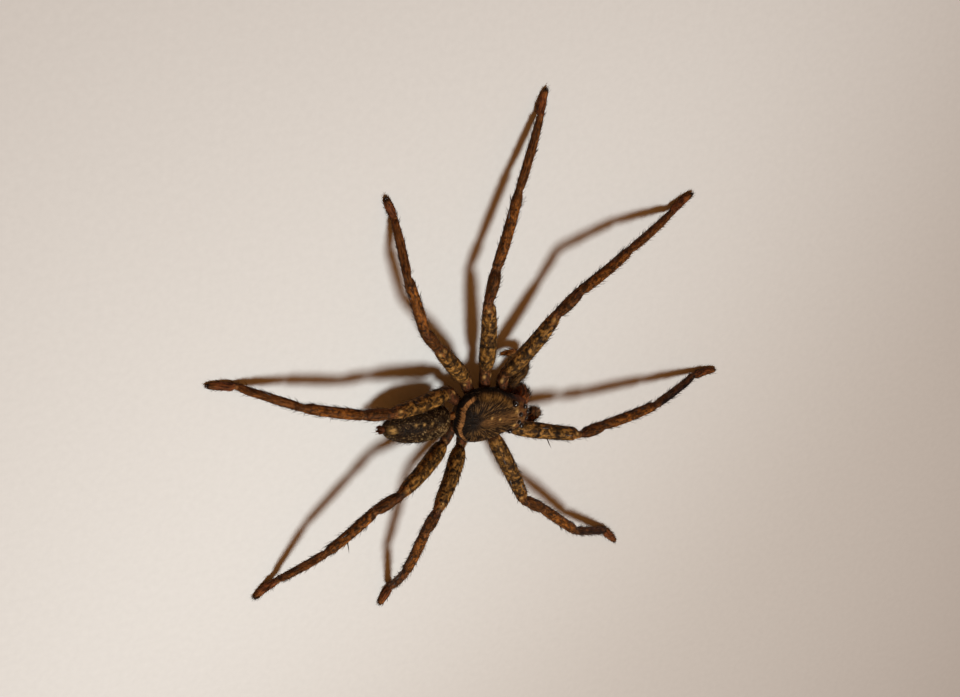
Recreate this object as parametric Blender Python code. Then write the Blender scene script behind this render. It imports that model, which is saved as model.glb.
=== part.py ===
# Huntsman spider, life size, standing with its legs spread.
# Lengths are in millimetres until a mesh is made, and +X is the way the head points.
import math
import random

import bmesh
import bpy
from mathutils import Matrix, Vector

mm = 0.001
gap = 0.3                 # clearance between pieces that meet
eye_gap = 0.2             # the same under the small eyes
jaw_gap = 0.4             # and round the shell's sharp front edge, where the jaws hang
most_corner = 1.5         # how much further a sharp corner swells than a flat face
end_reach = 0.3           # straight stretch behind the end face of a leg segment
weld = 1e-6               # metres, for joining a curve's caps to its sides
seed = 11                 # for the small differences between spines
sharp_angle = 50          # degrees

# The whole body stands turned a little to its right over its feet
body_turn = -4.0          # degrees
body_shift = -0.3         # sideways

# Head and thorax in one shell: x, half width, top, edge, half width below, bottom, and how
# boxy the back is, from 0 for square shoulders to 0.5 for an ellipse
carapace = (
    (-3.9, 1.9, 6.7, 6.0, 0.9, 5.0, 0.4),
    (-3.3, 3.15, 7.8, 6.0, 1.5, 4.3, 0.4),
    (-2.2, 4.2, 8.7, 6.0, 2.1, 3.8, 0.4),
    (-0.6, 4.7, 9.05, 6.0, 2.6, 3.6, 0.4),
    (1.2, 4.75, 9.1, 6.0, 2.8, 3.6, 0.4),
    (3.0, 4.4, 9.05, 6.0, 2.7, 3.6, 0.4),
    (4.8, 3.5, 9.05, 6.0, 2.4, 3.6, 0.36),
    (6.4, 2.9, 8.95, 6.0, 2.1, 3.5, 0.3),
    (7.8, 2.45, 8.5, 6.1, 1.9, 3.7, 0.28),
    (8.7, 1.85, 7.8, 6.3, 1.2, 4.7, 0.3),
    (9.2, 1.1, 7.3, 6.4, 0.5, 5.2, 0.35),
)
carapace_sections = 21
dome_steps = 5
edge_thickness = 0.4
keel_share = 0.6          # width of the flat underside against the width below

# Abdomen: x, half width, top, bottom
abdomen = (
    (-5.1, 1.0, 6.6, 4.6),
    (-5.7, 2.2, 7.5, 3.8),
    (-7.4, 2.9, 8.1, 3.2),
    (-10.4, 3.15, 8.15, 3.1),
    (-13.2, 2.8, 7.6, 3.4),
    (-15.4, 1.9, 6.7, 3.9),
    (-16.6, 0.9, 5.9, 4.4),
)
abdomen_side = -0.45      # its middle line, sideways
abdomen_sections = 15
abdomen_sides = 18

pedicel_radius = 0.75
pedicel_height = 5.4
pedicel_reach = 1.2       # how far it runs into the shell and the abdomen before the cuts
pedicel_sides = 12

# Spinnerets: a hub behind the abdomen as (x, height, radius), and fingers as (height, share of length)
spinneret_hub = ((0.6, 0.0, 0.62), (-0.4, -0.05, 0.5))
spinneret_fingers = ((-0.2, 1.0), (0.26, 0.85))
spinneret_radius = 0.34
spinneret_length = 0.85
spinneret_spacing = 0.3
spinneret_root = -0.2
spinneret_splay = 0.05
spinneret_taper = ((0.0, 1.0), (0.6, 0.85), (1.0, 0.45))

# Eyes: name, x, half spacing, radius
eyes = (
    ("median_front", 8.35, 0.62, 0.32),
    ("side_front", 7.6, 1.65, 0.40),
    ("median_rear", 6.6, 0.68, 0.36),
    ("side_rear", 5.5, 2.35, 0.47),
)
eye_lift = 0.12           # centre of each eye above the shell
eye_segments = 12
eye_rings = 8
slope_step = 0.05         # for the slope of the shell under an eye

# Legs: lengths of thigh, knee, shin, heel joint and toe segments, by pair
segment_names = ("femur", "patella", "tibia", "metatarsus", "tarsus")
segment_lengths = (
    (13.4, 5.4, 12.0, 12.2, 5.4),
    (14.6, 5.1, 12.8, 11.6, 4.4),
    (11.5, 4.8, 9.7, 9.5, 3.7),
    (12.6, 4.8, 10.3, 10.7, 4.9),
)
hip_roots = ((4.6, 1.75), (1.7, 2.2), (-0.7, 2.4), (-2.8, 1.7))
root_height = 5.0
hip_height = 4.8
toe_height = 0.5

# Pose of each leg: its pair, the place of its thigh's root, the way each segment heads in
# degrees, and the heights of the joints between them
leg_pose = {
    "leg_1_left": (1, (5.1, 5.3), (60, 62, 22, 13, 30), (7.6, 9.3, 6.4, 1.4)),
    "leg_2_left": (2, (1.3, 6.9), (102, 75, 74, 70, 75), (7.4, 6.3, 4.3, 1.5)),
    "leg_3_left": (3, (-2.5, 6.1), (133, 131, 110, 91, 117), (7.6, 8.2, 6.5, 0.7)),
    "leg_4_left": (4, (-5.4, 4.05), (178, 178, 167, 165, 171), (8.6, 7.8, 6.2, 0.7)),
    "leg_1_right": (1, (6.5, -4.2), (-8, 0, 3, 5, -2), (9.3, 8.1, 6.2, 1.3)),
    "leg_2_right": (2, (4.2, -5.1), (-62, -33, -40, -26, -45), (7.6, 7.5, 5.0, 0.7)),
    "leg_3_right": (3, (-1.4, -6.5), (-131, -98, -98, -77, -113), (10.7, 9.2, 6.9, 0.7)),
    "leg_4_right": (4, (-4.7, -5.3), (-157, -135, -134, -123, -134), (10.4, 8.8, 7.2, 1.5)),
}

# Outline of each segment: share of its length, share of its radius
segment_radii = {"femur": 1.38, "patella": 1.02, "tibia": 0.92, "metatarsus": 0.75, "tarsus": 0.71}
segment_outlines = {
    "femur": ((0.1, 0.86), (0.18, 0.98), (0.35, 1.0), (0.6, 0.94), (0.8, 0.87), (0.91, 0.77)),
    "patella": ((0.2, 0.9), (0.42, 0.98), (0.68, 1.0), (0.84, 0.92)),
    "tibia": ((0.09, 0.95), (0.22, 1.0), (0.5, 0.98), (0.78, 0.94), (0.91, 0.9)),
    "metatarsus": ((0.09, 0.96), (0.3, 1.0), (0.6, 0.96), (0.9, 0.86)),
    "tarsus": ((0.12, 0.88), (0.4, 1.0), (0.64, 0.95), (0.86, 0.74), (0.97, 0.48)),
}
joint_radii = (0.96, 0.84, 0.82, 0.66, 0.58)  # at the near end of each segment
pinched_joints = {             # joints drawn in further than the others: number, radius
    "leg_1_right": (1, 0.62),
    "leg_3_right": (0, 0.88),
    "leg_4_right": (0, 0.88),
}
hip_shares = (0.0, 0.35, 0.68)
hip_radii = (0.86, 0.94, 0.98, 0.94)
arch = {"femur": 0.035, "patella": 0.02, "tibia": 0.02, "metatarsus": 0.015}
claw_radius = 0.24
pad_share = 0.5           # share of the tarsus in front of its flat pad
pad_lift = 0.12           # how far the middle line drops over that share
leg_sides = 10
foot_sides = 8

# Spines that lie close: share of the segment's length and the angle round it from the top, in degrees
spine_places = {
    "femur": ((0.3, 20), (0.42, -50), (0.6, 55), (0.74, -15)),
    "tibia": ((0.2, 115), (0.3, -110), (0.5, 60), (0.62, -70), (0.77, 115), (0.79, -115)),
    "metatarsus": ((0.14, 85), (0.2, -90), (0.46, 65)),
}
spine_length = {"femur": 1.5, "tibia": 1.75, "metatarsus": 1.6}
spine_vary = (0.85, 1.1)
spine_base = 0.18         # radius
spine_tip = 0.04
spine_lean = 73           # degrees from upright, towards the foot
spine_turn_vary = 8       # degrees
spine_lean_vary = 5
spine_sink = 0.25
spine_sides = 4
spine_floor = 0.5         # lowest height of a spine's tip

# Spines that stand up: segment, share of its length, angle round it and lean
standing_spines = {
    "leg_1_right": ("femur", 0.55, 45, 17),
    "leg_4_right": ("tibia", 0.64, -45, 25),
}
standing_length = 1.9

# Jaws, on the body's own lines: x, sideways, height, radius
jaw_path = (
    (7.6, 1.2, 6.0, 0.95),
    (8.5, 1.32, 5.7, 1.1),
    (9.25, 1.5, 5.0, 1.18),
    (9.6, 1.7, 4.1, 1.2),
    (9.7, 1.82, 3.2, 1.16),
    (9.55, 1.86, 2.35, 0.98),
    (9.35, 1.8, 1.85, 0.62),
)
fang_path = (
    (9.35, 1.8, 2.2, 0.34),
    (8.9, 1.5, 1.55, 0.3),
    (8.35, 1.0, 1.3, 0.2),
    (8.05, 0.68, 1.4, 0.08),
)
jaw_sections = 10
jaw_sides = 14
jaw_spread = {"left": 1.0, "right": 0.75}  # the right jaw is held closer to the middle
small_sides = 8           # fangs, palps and spinnerets

# Palps, on the legs' lines: x, y, height, radius from root to tip, bent at the knee
palp_paths = {
    "palp_left": (
        (7.3, 2.3, 4.0, 0.78),
        (8.4, 3.75, 4.1, 0.82),
        (9.15, 4.7, 4.2, 0.88),
        (9.6, 5.5, 3.95, 0.72),
        (9.55, 6.3, 3.3, 0.8),
        (8.95, 7.0, 2.7, 0.7),
        (8.1, 7.35, 2.15, 0.58),
        (7.1, 7.25, 1.65, 0.46),
        (6.4, 6.95, 1.35, 0.28),
    ),
    "palp_right": (
        (7.3, -2.7, 3.6, 0.74),
        (8.5, -4.1, 3.5, 0.76),
        (10.2, -4.8, 3.8, 0.76),
        (11.9, -4.1, 4.7, 0.66),
        (12.75, -3.3, 4.75, 0.82),
        (13.1, -3.6, 3.6, 0.8),
        (12.8, -4.6, 2.5, 0.7),
        (11.9, -5.7, 1.6, 0.54),
        (10.9, -6.6, 1.15, 0.3),
    ),
}
palp_knee = 3             # which of those points is the knee
palp_steps = 3            # smooth steps between two points

colours = {
    "shell": (0.075, 0.035, 0.018),
    "abdomen": (0.10, 0.065, 0.03),
    "thigh": (0.17, 0.11, 0.045),
    "knee": (0.13, 0.07, 0.03),
    "shin": (0.24, 0.11, 0.035),
    "foot": (0.22, 0.075, 0.025),
    "jaw": (0.12, 0.035, 0.018),
    "eye": (0.01, 0.01, 0.012),
}
eye_roughness = 0.08
skin_roughness = 0.55
floor_size = 0.2          # metres, of the block that cuts the feet flat
floor_depth = 0.01


def clear_scene():
    for old in list(bpy.data.objects):
        bpy.data.objects.remove(old, do_unlink=True)


def new_collection(name, hidden=False):
    made = bpy.data.collections.new(name)
    bpy.context.scene.collection.children.link(made)
    made.hide_render = hidden
    return made


def make_materials():
    made = {}
    for name, colour in colours.items():
        material = bpy.data.materials.new(name)
        material.use_nodes = True
        shader = material.node_tree.nodes["Principled BSDF"]
        shader.inputs["Base Color"].default_value = (*colour, 1.0)
        shader.inputs["Roughness"].default_value = eye_roughness if name == "eye" else skin_roughness
        shader.inputs["Metallic"].default_value = 0.0
        made[name] = material
    return made


def add_object(name, mesh, collection, material=None):
    mesh.name = name
    made = bpy.data.objects.new(name, mesh)
    collection.objects.link(made)
    if material:
        mesh.materials.append(material)
        mesh.shade_smooth()
        mesh.set_sharp_from_angle(angle=math.radians(sharp_angle))
    return made


def on_body(x, y, height):
    """A point on the body's own lines, turned over the feet."""
    turn = math.radians(body_turn)
    return Vector((
        x * math.cos(turn) - y * math.sin(turn),
        x * math.sin(turn) + y * math.cos(turn) + body_shift,
        height,
    ))


def between(stations, count):
    """Evenly shared stations on a smooth curve through the given ones."""
    result = []
    last = len(stations) - 1
    for step in range(count):
        place = step / (count - 1) * last
        index = min(int(place), last - 1)
        share = place - index
        near = [stations[max(min(index + shift, last), 0)] for shift in (-1, 0, 1, 2)]
        result.append(tuple(
            b + 0.5 * share * (c - a + share * (
                2 * a - 5 * b + 4 * c - d + share * (3 * (b - c) + d - a)
            ))
            for a, b, c, d in zip(*near)
        ))
    return result


def loft(sections):
    """A closed mesh through rings of points, with a flat face at each end."""
    mesh = bmesh.new()
    rings = [[mesh.verts.new(Vector(point) * mm) for point in ring] for ring in sections]
    count = len(rings[0])
    for near, far in zip(rings, rings[1:]):
        for i in range(count):
            mesh.faces.new((near[i], near[(i + 1) % count], far[(i + 1) % count], far[i]))
    mesh.faces.new(rings[0][::-1])
    mesh.faces.new(rings[-1])
    bmesh.ops.triangulate(mesh, faces=mesh.faces)
    bmesh.ops.recalc_face_normals(mesh, faces=mesh.faces)
    made = bpy.data.meshes.new("loft")
    mesh.to_mesh(made)
    mesh.free()
    return made


def carapace_ring(x, half_width, top, edge, half_below, bottom, power):
    half = []
    for step in range(dome_steps + 1):
        angle = math.radians(90 * step / dome_steps)
        height = edge + (top - edge) * max(math.cos(angle), 0.0) ** (2 * power)
        half.append((half_width * math.sin(angle), height))
    half.append((half_width - edge_thickness * 0.5, edge - edge_thickness))
    half.append(((half_width + half_below) * 0.5, edge - edge_thickness))
    half.append((half_below, (edge + bottom) * 0.5))
    half.append((half_below * keel_share, bottom))
    right = [(-y, z) for y, z in half[1:]][::-1]
    return [on_body(x, y, z) for y, z in half + right]


def carapace_size(x):
    """The shell's half width, top, edge height and boxiness at x."""
    for near, far in zip(carapace, carapace[1:]):
        if x <= far[0]:
            share = (x - near[0]) / (far[0] - near[0])
            return [near[i] + share * (far[i] - near[i]) for i in (1, 2, 3, 6)]
    return [carapace[-1][i] for i in (1, 2, 3, 6)]


def carapace_height(x, y):
    half_width, top, edge, power = carapace_size(x)
    inside = max(1 - (y / half_width) ** 2, 0.0)
    return edge + (top - edge) * inside ** power


def abdomen_ring(x, half_width, top, bottom):
    middle = (top + bottom) * 0.5
    half_height = (top - bottom) * 0.5
    ring = []
    for step in range(abdomen_sides):
        angle = 2 * math.pi * step / abdomen_sides
        ring.append((x, abdomen_side + half_width * math.cos(angle), middle + half_height * math.sin(angle)))
    return ring


def tube_mesh(path, sides):
    """A round closed tube through points that carry a radius each."""
    data = bpy.data.curves.new("tube", "CURVE")
    data.dimensions = "3D"
    data.bevel_depth = mm
    data.bevel_resolution = sides // 2 - 2
    data.use_fill_caps = True
    spline = data.splines.new("POLY")
    spline.points.add(len(path) - 1)
    for point, (x, y, z, radius) in zip(spline.points, path):
        point.co = (x * mm, y * mm, z * mm, 1.0)
        point.radius = radius
    guide = bpy.data.objects.new("tube", data)
    bpy.context.scene.collection.objects.link(guide)
    graph = bpy.context.evaluated_depsgraph_get()
    made = bpy.data.meshes.new_from_object(guide.evaluated_get(graph))
    bpy.data.objects.remove(guide)
    bpy.data.curves.remove(data)
    mesh = bmesh.new()
    mesh.from_mesh(made)
    bmesh.ops.remove_doubles(mesh, verts=mesh.verts, dist=weld)
    bmesh.ops.triangulate(mesh, faces=mesh.faces)
    bmesh.ops.recalc_face_normals(mesh, faces=mesh.faces)
    mesh.to_mesh(made)
    mesh.free()
    return made


def largest_surface(made):
    """Drops every loose scrap that a cut or a join leaves."""
    mesh = bmesh.new()
    mesh.from_mesh(made)
    waiting = set(mesh.verts)
    groups = []
    while waiting:
        group = set()
        edge_of_group = [waiting.pop()]
        while edge_of_group:
            vert = edge_of_group.pop()
            group.add(vert)
            for edge in vert.link_edges:
                other = edge.other_vert(vert)
                if other in waiting:
                    waiting.discard(other)
                    edge_of_group.append(other)
        groups.append(group)
    groups.sort(key=len)
    spare = [vert for group in groups[:-1] for vert in group]
    bmesh.ops.delete(mesh, geom=spare, context="VERTS")
    mesh.to_mesh(made)
    mesh.free()


def apply_boolean(target, operation, cutter=None, collection=None):
    modifier = target.modifiers.new(operation.lower(), "BOOLEAN")
    modifier.operation = operation
    modifier.solver = "EXACT"
    if cutter:
        modifier.object = cutter
    else:
        modifier.operand_type = "COLLECTION"
        modifier.collection = collection
    graph = bpy.context.evaluated_depsgraph_get()
    made = bpy.data.meshes.new_from_object(target.evaluated_get(graph))
    target.modifiers.remove(modifier)
    old = target.data
    name = old.name
    target.data = made
    bpy.data.meshes.remove(old)
    made.name = name
    largest_surface(made)


def fuse(target, meshes):
    """Joins closed meshes to the piece that they grow from."""
    joined = new_collection("to_join")
    for index, mesh in enumerate(meshes):
        add_object(f"join_{index}", mesh, joined)
    apply_boolean(target, "UNION", collection=joined)
    for piece in list(joined.objects):
        mesh = piece.data
        bpy.data.objects.remove(piece)
        bpy.data.meshes.remove(mesh)
    bpy.data.collections.remove(joined)


def grown_copy(source, amount, cutters):
    """The same shape swollen by a clearance, to cut what meets it."""
    made = bpy.data.objects.new(source.name + "_clearance", source.data.copy())
    cutters.objects.link(made)
    mesh = bmesh.new()
    mesh.from_mesh(made.data)
    mesh.normal_update()
    for vert in mesh.verts:
        vert.co += vert.normal * amount * mm * min(vert.calc_shell_factor(), most_corner)
    mesh.to_mesh(made.data)
    mesh.free()
    made.hide_render = True
    made.display_type = "WIRE"
    return made


def floor_cutter(cutters):
    mesh = bmesh.new()
    bmesh.ops.create_cube(mesh, size=1.0)
    bmesh.ops.scale(mesh, vec=(floor_size, floor_size, floor_depth), verts=mesh.verts)
    bmesh.ops.translate(mesh, vec=(0, 0, -floor_depth * 0.5), verts=mesh.verts)
    made = bpy.data.meshes.new("floor")
    mesh.to_mesh(made)
    mesh.free()
    block = add_object("floor_cut", made, cutters)
    block.hide_render = True
    block.display_type = "WIRE"
    return block


def leg_joints(pair, root, headings, heights):
    """The joints of one leg from its root to the tip of its toe."""
    joints = [Vector((*root, root_height))]
    for length, heading, height in zip(segment_lengths[pair - 1], headings, (*heights, toe_height)):
        rise = height - joints[-1].z
        reach = math.sqrt(length ** 2 - rise ** 2)
        turn = math.radians(heading)
        joints.append(joints[-1] + Vector((reach * math.cos(turn), reach * math.sin(turn), rise)))
    return joints


def joint_directions(joints, start):
    """At each joint, the direction half way between the segments that meet there."""
    ways = [start] + [(b - a).normalized() for a, b in zip(joints, joints[1:])]
    return [(a + b).normalized() for a, b in zip(ways, ways[1:])] + [ways[-1]]


def segment_path(kind, near, far):
    """Points along one segment, arched a little, each with its radius."""
    run = far - near
    side = run.cross(Vector((0, 0, 1))).normalized()
    upward = side.cross(run).normalized()
    path = []
    for share, size in segment_outlines[kind]:
        lift = arch[kind] * run.length * math.sin(math.pi * share)
        place = near + run * share + upward * lift
        path.append((*place, size * segment_radii[kind]))
    return path


def square_end(place, way, radius):
    """Two points that leave a joint along its middle direction, so the end face is square to it."""
    return [(*(place + way * reach), radius) for reach in (gap * 0.5, gap * 0.5 + end_reach)]


def spine_mesh(place, way, length):
    mesh = bmesh.new()
    bmesh.ops.create_cone(
        mesh, cap_ends=True, segments=spine_sides,
        radius1=spine_base * mm, radius2=spine_tip * mm, depth=length * mm,
    )
    turn = way.to_track_quat("Z", "Y").to_matrix().to_4x4()
    middle = Matrix.Translation((place + way * length * 0.5) * mm)
    mesh.transform(middle @ turn)
    bmesh.ops.triangulate(mesh, faces=mesh.faces)
    made = bpy.data.meshes.new("spine")
    mesh.to_mesh(made)
    mesh.free()
    return made


def radius_at(kind, share):
    outline = segment_outlines[kind]
    for (a, near), (b, far) in zip(outline, outline[1:]):
        if share <= b:
            return segment_radii[kind] * (near + (far - near) * (share - a) / (b - a))
    return segment_radii[kind] * outline[-1][1]


def spine_on(kind, near, far, share, angle, lean, length):
    """The root and direction of one spine on a segment, or nothing where it would reach the floor."""
    run = far - near
    side = run.cross(Vector((0, 0, 1))).normalized()
    upward = side.cross(run).normalized()
    turn = math.radians(angle)
    outward = upward * math.cos(turn) + side * math.sin(turn)
    way = outward * math.cos(math.radians(lean)) + run.normalized() * math.sin(math.radians(lean))
    middle = near + run * share + upward * arch[kind] * run.length * math.sin(math.pi * share)
    root = middle + outward * (radius_at(kind, share) - spine_sink)
    if (root + way * length).z < spine_floor:
        return []
    return [spine_mesh(root, way, length)]


def segment_spines(leg, kind, near, far, draw):
    made = []
    for share, angle in spine_places[kind]:
        turn = angle + draw.uniform(-spine_turn_vary, spine_turn_vary)
        lean = spine_lean + draw.uniform(-spine_lean_vary, spine_lean_vary)
        length = spine_length[kind] * draw.uniform(*spine_vary)
        made += spine_on(kind, near, far, share, turn, lean, length)
    if standing_spines.get(leg, ("none",))[0] == kind:
        share, angle, lean = standing_spines[leg][1:]
        made += spine_on(kind, near, far, share, angle, lean, standing_length)
    return made


def build_leg(name, pose, parts, cutters, floor, materials, draw):
    pair, root, headings, heights = pose
    joints = leg_joints(pair, root, headings, heights)
    hip_x, hip_y = hip_roots[pair - 1]
    inner = on_body(hip_x, math.copysign(hip_y, root[1]), hip_height)
    ways = joint_directions(joints, (joints[0] - inner).normalized())
    radii = list(joint_radii)
    if name in pinched_joints:
        number, radius = pinched_joints[name]
        radii[number] = radius

    path = [(*inner.lerp(joints[0], share), radius) for share, radius in zip(hip_shares, hip_radii)]
    path += square_end(joints[0], -ways[0], hip_radii[-1])[::-1]
    coxa = add_object(name + "_coxa", tube_mesh(path, leg_sides), parts, materials["knee"])
    apply_boolean(coxa, "DIFFERENCE", cutter=cutters["shell"])

    looks = {"femur": "thigh", "patella": "knee", "tibia": "shin"}
    for index, kind in enumerate(segment_names[:3]):
        near, far = joints[index], joints[index + 1]
        path = square_end(near, ways[index], radii[index])
        path += segment_path(kind, near, far)
        path += square_end(far, -ways[index + 1], radii[index + 1])[::-1]
        piece = add_object(f"{name}_{kind}", tube_mesh(path, leg_sides), parts, materials[looks[kind]])
        if kind in spine_places:
            fuse(piece, segment_spines(name, kind, near, far, draw))
        if kind == "femur" and pair == 1:
            apply_boolean(piece, "DIFFERENCE", cutter=cutters["shell"])

    ankle, heel, toe = joints[3:]
    path = square_end(ankle, ways[3], radii[3])
    path += segment_path("metatarsus", ankle, heel)
    pad_top = toe_height + pad_lift
    for share, size in segment_outlines["tarsus"]:
        place = heel.lerp(toe, share)
        place.z = toe_height
        if share < pad_share:
            place.z = heel.z + (pad_top - heel.z) * share / pad_share
        path.append((*place, size * segment_radii["tarsus"]))
    path.append((*toe, claw_radius))
    foot = add_object(name + "_foot", tube_mesh(path, foot_sides), parts, materials["foot"])
    fuse(foot, segment_spines(name, "metatarsus", ankle, heel, draw))
    apply_boolean(foot, "DIFFERENCE", cutter=floor)


def build_body(parts, cutters, materials):
    shell = add_object(
        "cephalothorax",
        loft([carapace_ring(*station) for station in between(carapace, carapace_sections)]),
        parts, materials["shell"],
    )
    belly = add_object(
        "abdomen",
        loft([abdomen_ring(*station) for station in between(abdomen, abdomen_sections)]),
        parts, materials["abdomen"],
    )
    made = {
        "shell": grown_copy(shell, gap, cutters),
        "shell_eye": grown_copy(shell, eye_gap, cutters),
        "shell_jaw": grown_copy(shell, jaw_gap, cutters),
        "belly": grown_copy(belly, gap, cutters),
    }
    front = on_body(carapace[0][0] + pedicel_reach, 0, pedicel_height)
    rear = Vector((abdomen[0][0] - pedicel_reach, abdomen_side, pedicel_height))
    stalk = tube_mesh([(*front, pedicel_radius), (*rear, pedicel_radius)], pedicel_sides)
    pedicel = add_object("pedicel", stalk, parts, materials["shell"])
    apply_boolean(pedicel, "DIFFERENCE", cutter=made["shell"])
    apply_boolean(pedicel, "DIFFERENCE", cutter=made["belly"])
    return made


def build_spinnerets(parts, cutters, materials):
    x, _, top, bottom = abdomen[-1]
    middle = Vector((x, abdomen_side, (top + bottom) * 0.5))
    hub = [(*(middle + Vector((along, 0, lift))), radius) for along, lift, radius in spinneret_hub]
    piece = add_object("spinnerets", tube_mesh(hub, leg_sides), parts, materials["jaw"])
    fingers = []
    for side in (-1, 1):
        for lift, stretch in spinneret_fingers:
            root = middle + Vector((spinneret_root, side * spinneret_spacing, lift))
            tip = root + Vector((-spinneret_length * stretch, side * spinneret_splay, lift * 0.5))
            path = [(*root.lerp(tip, share), spinneret_radius * size) for share, size in spinneret_taper]
            fingers.append(tube_mesh(path, small_sides))
    fuse(piece, fingers)
    apply_boolean(piece, "DIFFERENCE", cutter=cutters["belly"])


def build_eyes(parts, cutters, materials):
    for name, x, spacing, radius in eyes:
        for word, side in (("left", 1), ("right", -1)):
            y = side * spacing
            height = carapace_height(x, y)
            along = (carapace_height(x + slope_step, y) - height) / slope_step
            across = (carapace_height(x, y + slope_step) - height) / slope_step
            outward = Vector((-along, -across, 1)).normalized()
            place = on_body(*(Vector((x, y, height)) + outward * eye_lift))
            mesh = bmesh.new()
            bmesh.ops.create_uvsphere(
                mesh, u_segments=eye_segments, v_segments=eye_rings, radius=radius * mm,
            )
            bmesh.ops.translate(mesh, vec=place * mm, verts=mesh.verts)
            made = bpy.data.meshes.new("eye")
            mesh.to_mesh(made)
            mesh.free()
            eye = add_object(f"eye_{name}_{word}", made, parts, materials["eye"])
            apply_boolean(eye, "DIFFERENCE", cutter=cutters["shell_eye"])


def build_jaws(parts, cutters, guides, materials):
    """Both jaws with their fangs; adds each one's clearance, which cuts the palp beside it."""
    for word, side in (("left", 1), ("right", -1)):
        stations = between(jaw_path, jaw_sections)
        across = side * jaw_spread[word]
        path = [(*on_body(x, across * y, z), radius) for x, y, z, radius in stations]
        jaw = add_object("chelicera_" + word, tube_mesh(path, jaw_sides), parts, materials["jaw"])
        cutters["palp_" + word] = grown_copy(jaw, gap, guides)
        fang = [(*on_body(x, across * y, z), radius) for x, y, z, radius in fang_path]
        fuse(jaw, [tube_mesh(fang, small_sides)])
        apply_boolean(jaw, "DIFFERENCE", cutter=cutters["shell_jaw"])


def build_palps(parts, cutters, materials):
    for name, points in palp_paths.items():
        path = between(points, (len(points) - 1) * palp_steps + 1)
        middle = palp_knee * palp_steps
        knee = Vector(path[middle][:3])
        way = (Vector(path[middle + 1][:3]) - Vector(path[middle - 1][:3])).normalized()
        radius = path[middle][3]
        near = path[:middle - 1] + square_end(knee, -way, radius)[::-1]
        far = square_end(knee, way, radius) + path[middle + 2:]
        base = add_object(name + "_femur", tube_mesh(near, small_sides), parts, materials["thigh"])
        apply_boolean(base, "DIFFERENCE", cutter=cutters["shell"])
        apply_boolean(base, "DIFFERENCE", cutter=cutters[name])
        add_object(name + "_end", tube_mesh(far, small_sides), parts, materials["shin"])


def centre_on_origin(parts):
    """Moves every piece so that the whole stands centred over the origin."""
    points = [vert.co for piece in parts.objects for vert in piece.data.vertices]
    middle = [(max(p[i] for p in points) + min(p[i] for p in points)) * 0.5 for i in (0, 1)]
    for piece in parts.objects:
        piece.data.transform(Matrix.Translation((-middle[0], -middle[1], 0)))


def main():
    clear_scene()
    parts = new_collection("huntsman_spider")
    guides = new_collection("cutters", hidden=True)
    materials = make_materials()
    draw = random.Random(seed)
    cutters = build_body(parts, guides, materials)
    floor = floor_cutter(guides)
    build_spinnerets(parts, cutters, materials)
    build_eyes(parts, cutters, materials)
    build_jaws(parts, cutters, guides, materials)
    build_palps(parts, cutters, materials)
    for name, pose in leg_pose.items():
        build_leg(name, pose, parts, cutters, floor, materials, draw)
    centre_on_origin(parts)


main()
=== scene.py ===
# Huntsman spider, dressed: one skin with its hair, spines, eyes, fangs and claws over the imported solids
import math
import random

import bmesh
import bpy
import numpy as np
from mathutils import Matrix, Vector, noise
from mathutils.kdtree import KDTree


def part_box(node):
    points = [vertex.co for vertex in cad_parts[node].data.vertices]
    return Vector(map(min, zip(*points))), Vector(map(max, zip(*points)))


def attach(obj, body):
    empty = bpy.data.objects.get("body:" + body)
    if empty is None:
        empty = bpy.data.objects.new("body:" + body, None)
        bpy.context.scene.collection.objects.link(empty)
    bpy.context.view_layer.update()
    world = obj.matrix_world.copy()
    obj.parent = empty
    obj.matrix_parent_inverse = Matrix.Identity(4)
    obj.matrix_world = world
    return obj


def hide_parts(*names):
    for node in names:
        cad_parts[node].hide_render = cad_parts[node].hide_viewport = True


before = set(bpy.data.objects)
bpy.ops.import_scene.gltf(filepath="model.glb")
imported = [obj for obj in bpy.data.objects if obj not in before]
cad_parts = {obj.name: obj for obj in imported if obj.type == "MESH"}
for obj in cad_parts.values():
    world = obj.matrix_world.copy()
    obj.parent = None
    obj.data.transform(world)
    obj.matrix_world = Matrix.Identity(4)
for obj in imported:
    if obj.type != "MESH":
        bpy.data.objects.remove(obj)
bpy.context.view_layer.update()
mm = 0.001
up = np.array((0.0, 0.0, 1.0))

# Lengths are in millimetres on the lines of the legs, with +X the way the head points
stance = {"turn": -4.0, "shift": -0.3}      # the body over its feet: degrees, and sideways
skinDepth = 0.05                            # how far the skin lies inside the solids


def unit(vectors):
    size = np.linalg.norm(vectors, axis=-1, keepdims=True)
    return vectors / np.maximum(size, 1e-9)


def onBody(points):
    turn = math.radians(stance["turn"])
    points = np.asarray(points, float)
    x, y = points[..., 0], points[..., 1]
    return np.stack((
        x * math.cos(turn) - y * math.sin(turn),
        x * math.sin(turn) + y * math.cos(turn) + stance["shift"],
        points[..., 2],
    ), axis=-1)


def offBody(points):
    turn = math.radians(stance["turn"])
    x, y = points[..., 0], points[..., 1] - stance["shift"]
    return np.stack((
        x * math.cos(turn) + y * math.sin(turn),
        -x * math.sin(turn) + y * math.cos(turn),
        points[..., 2],
    ), axis=-1)


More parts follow.
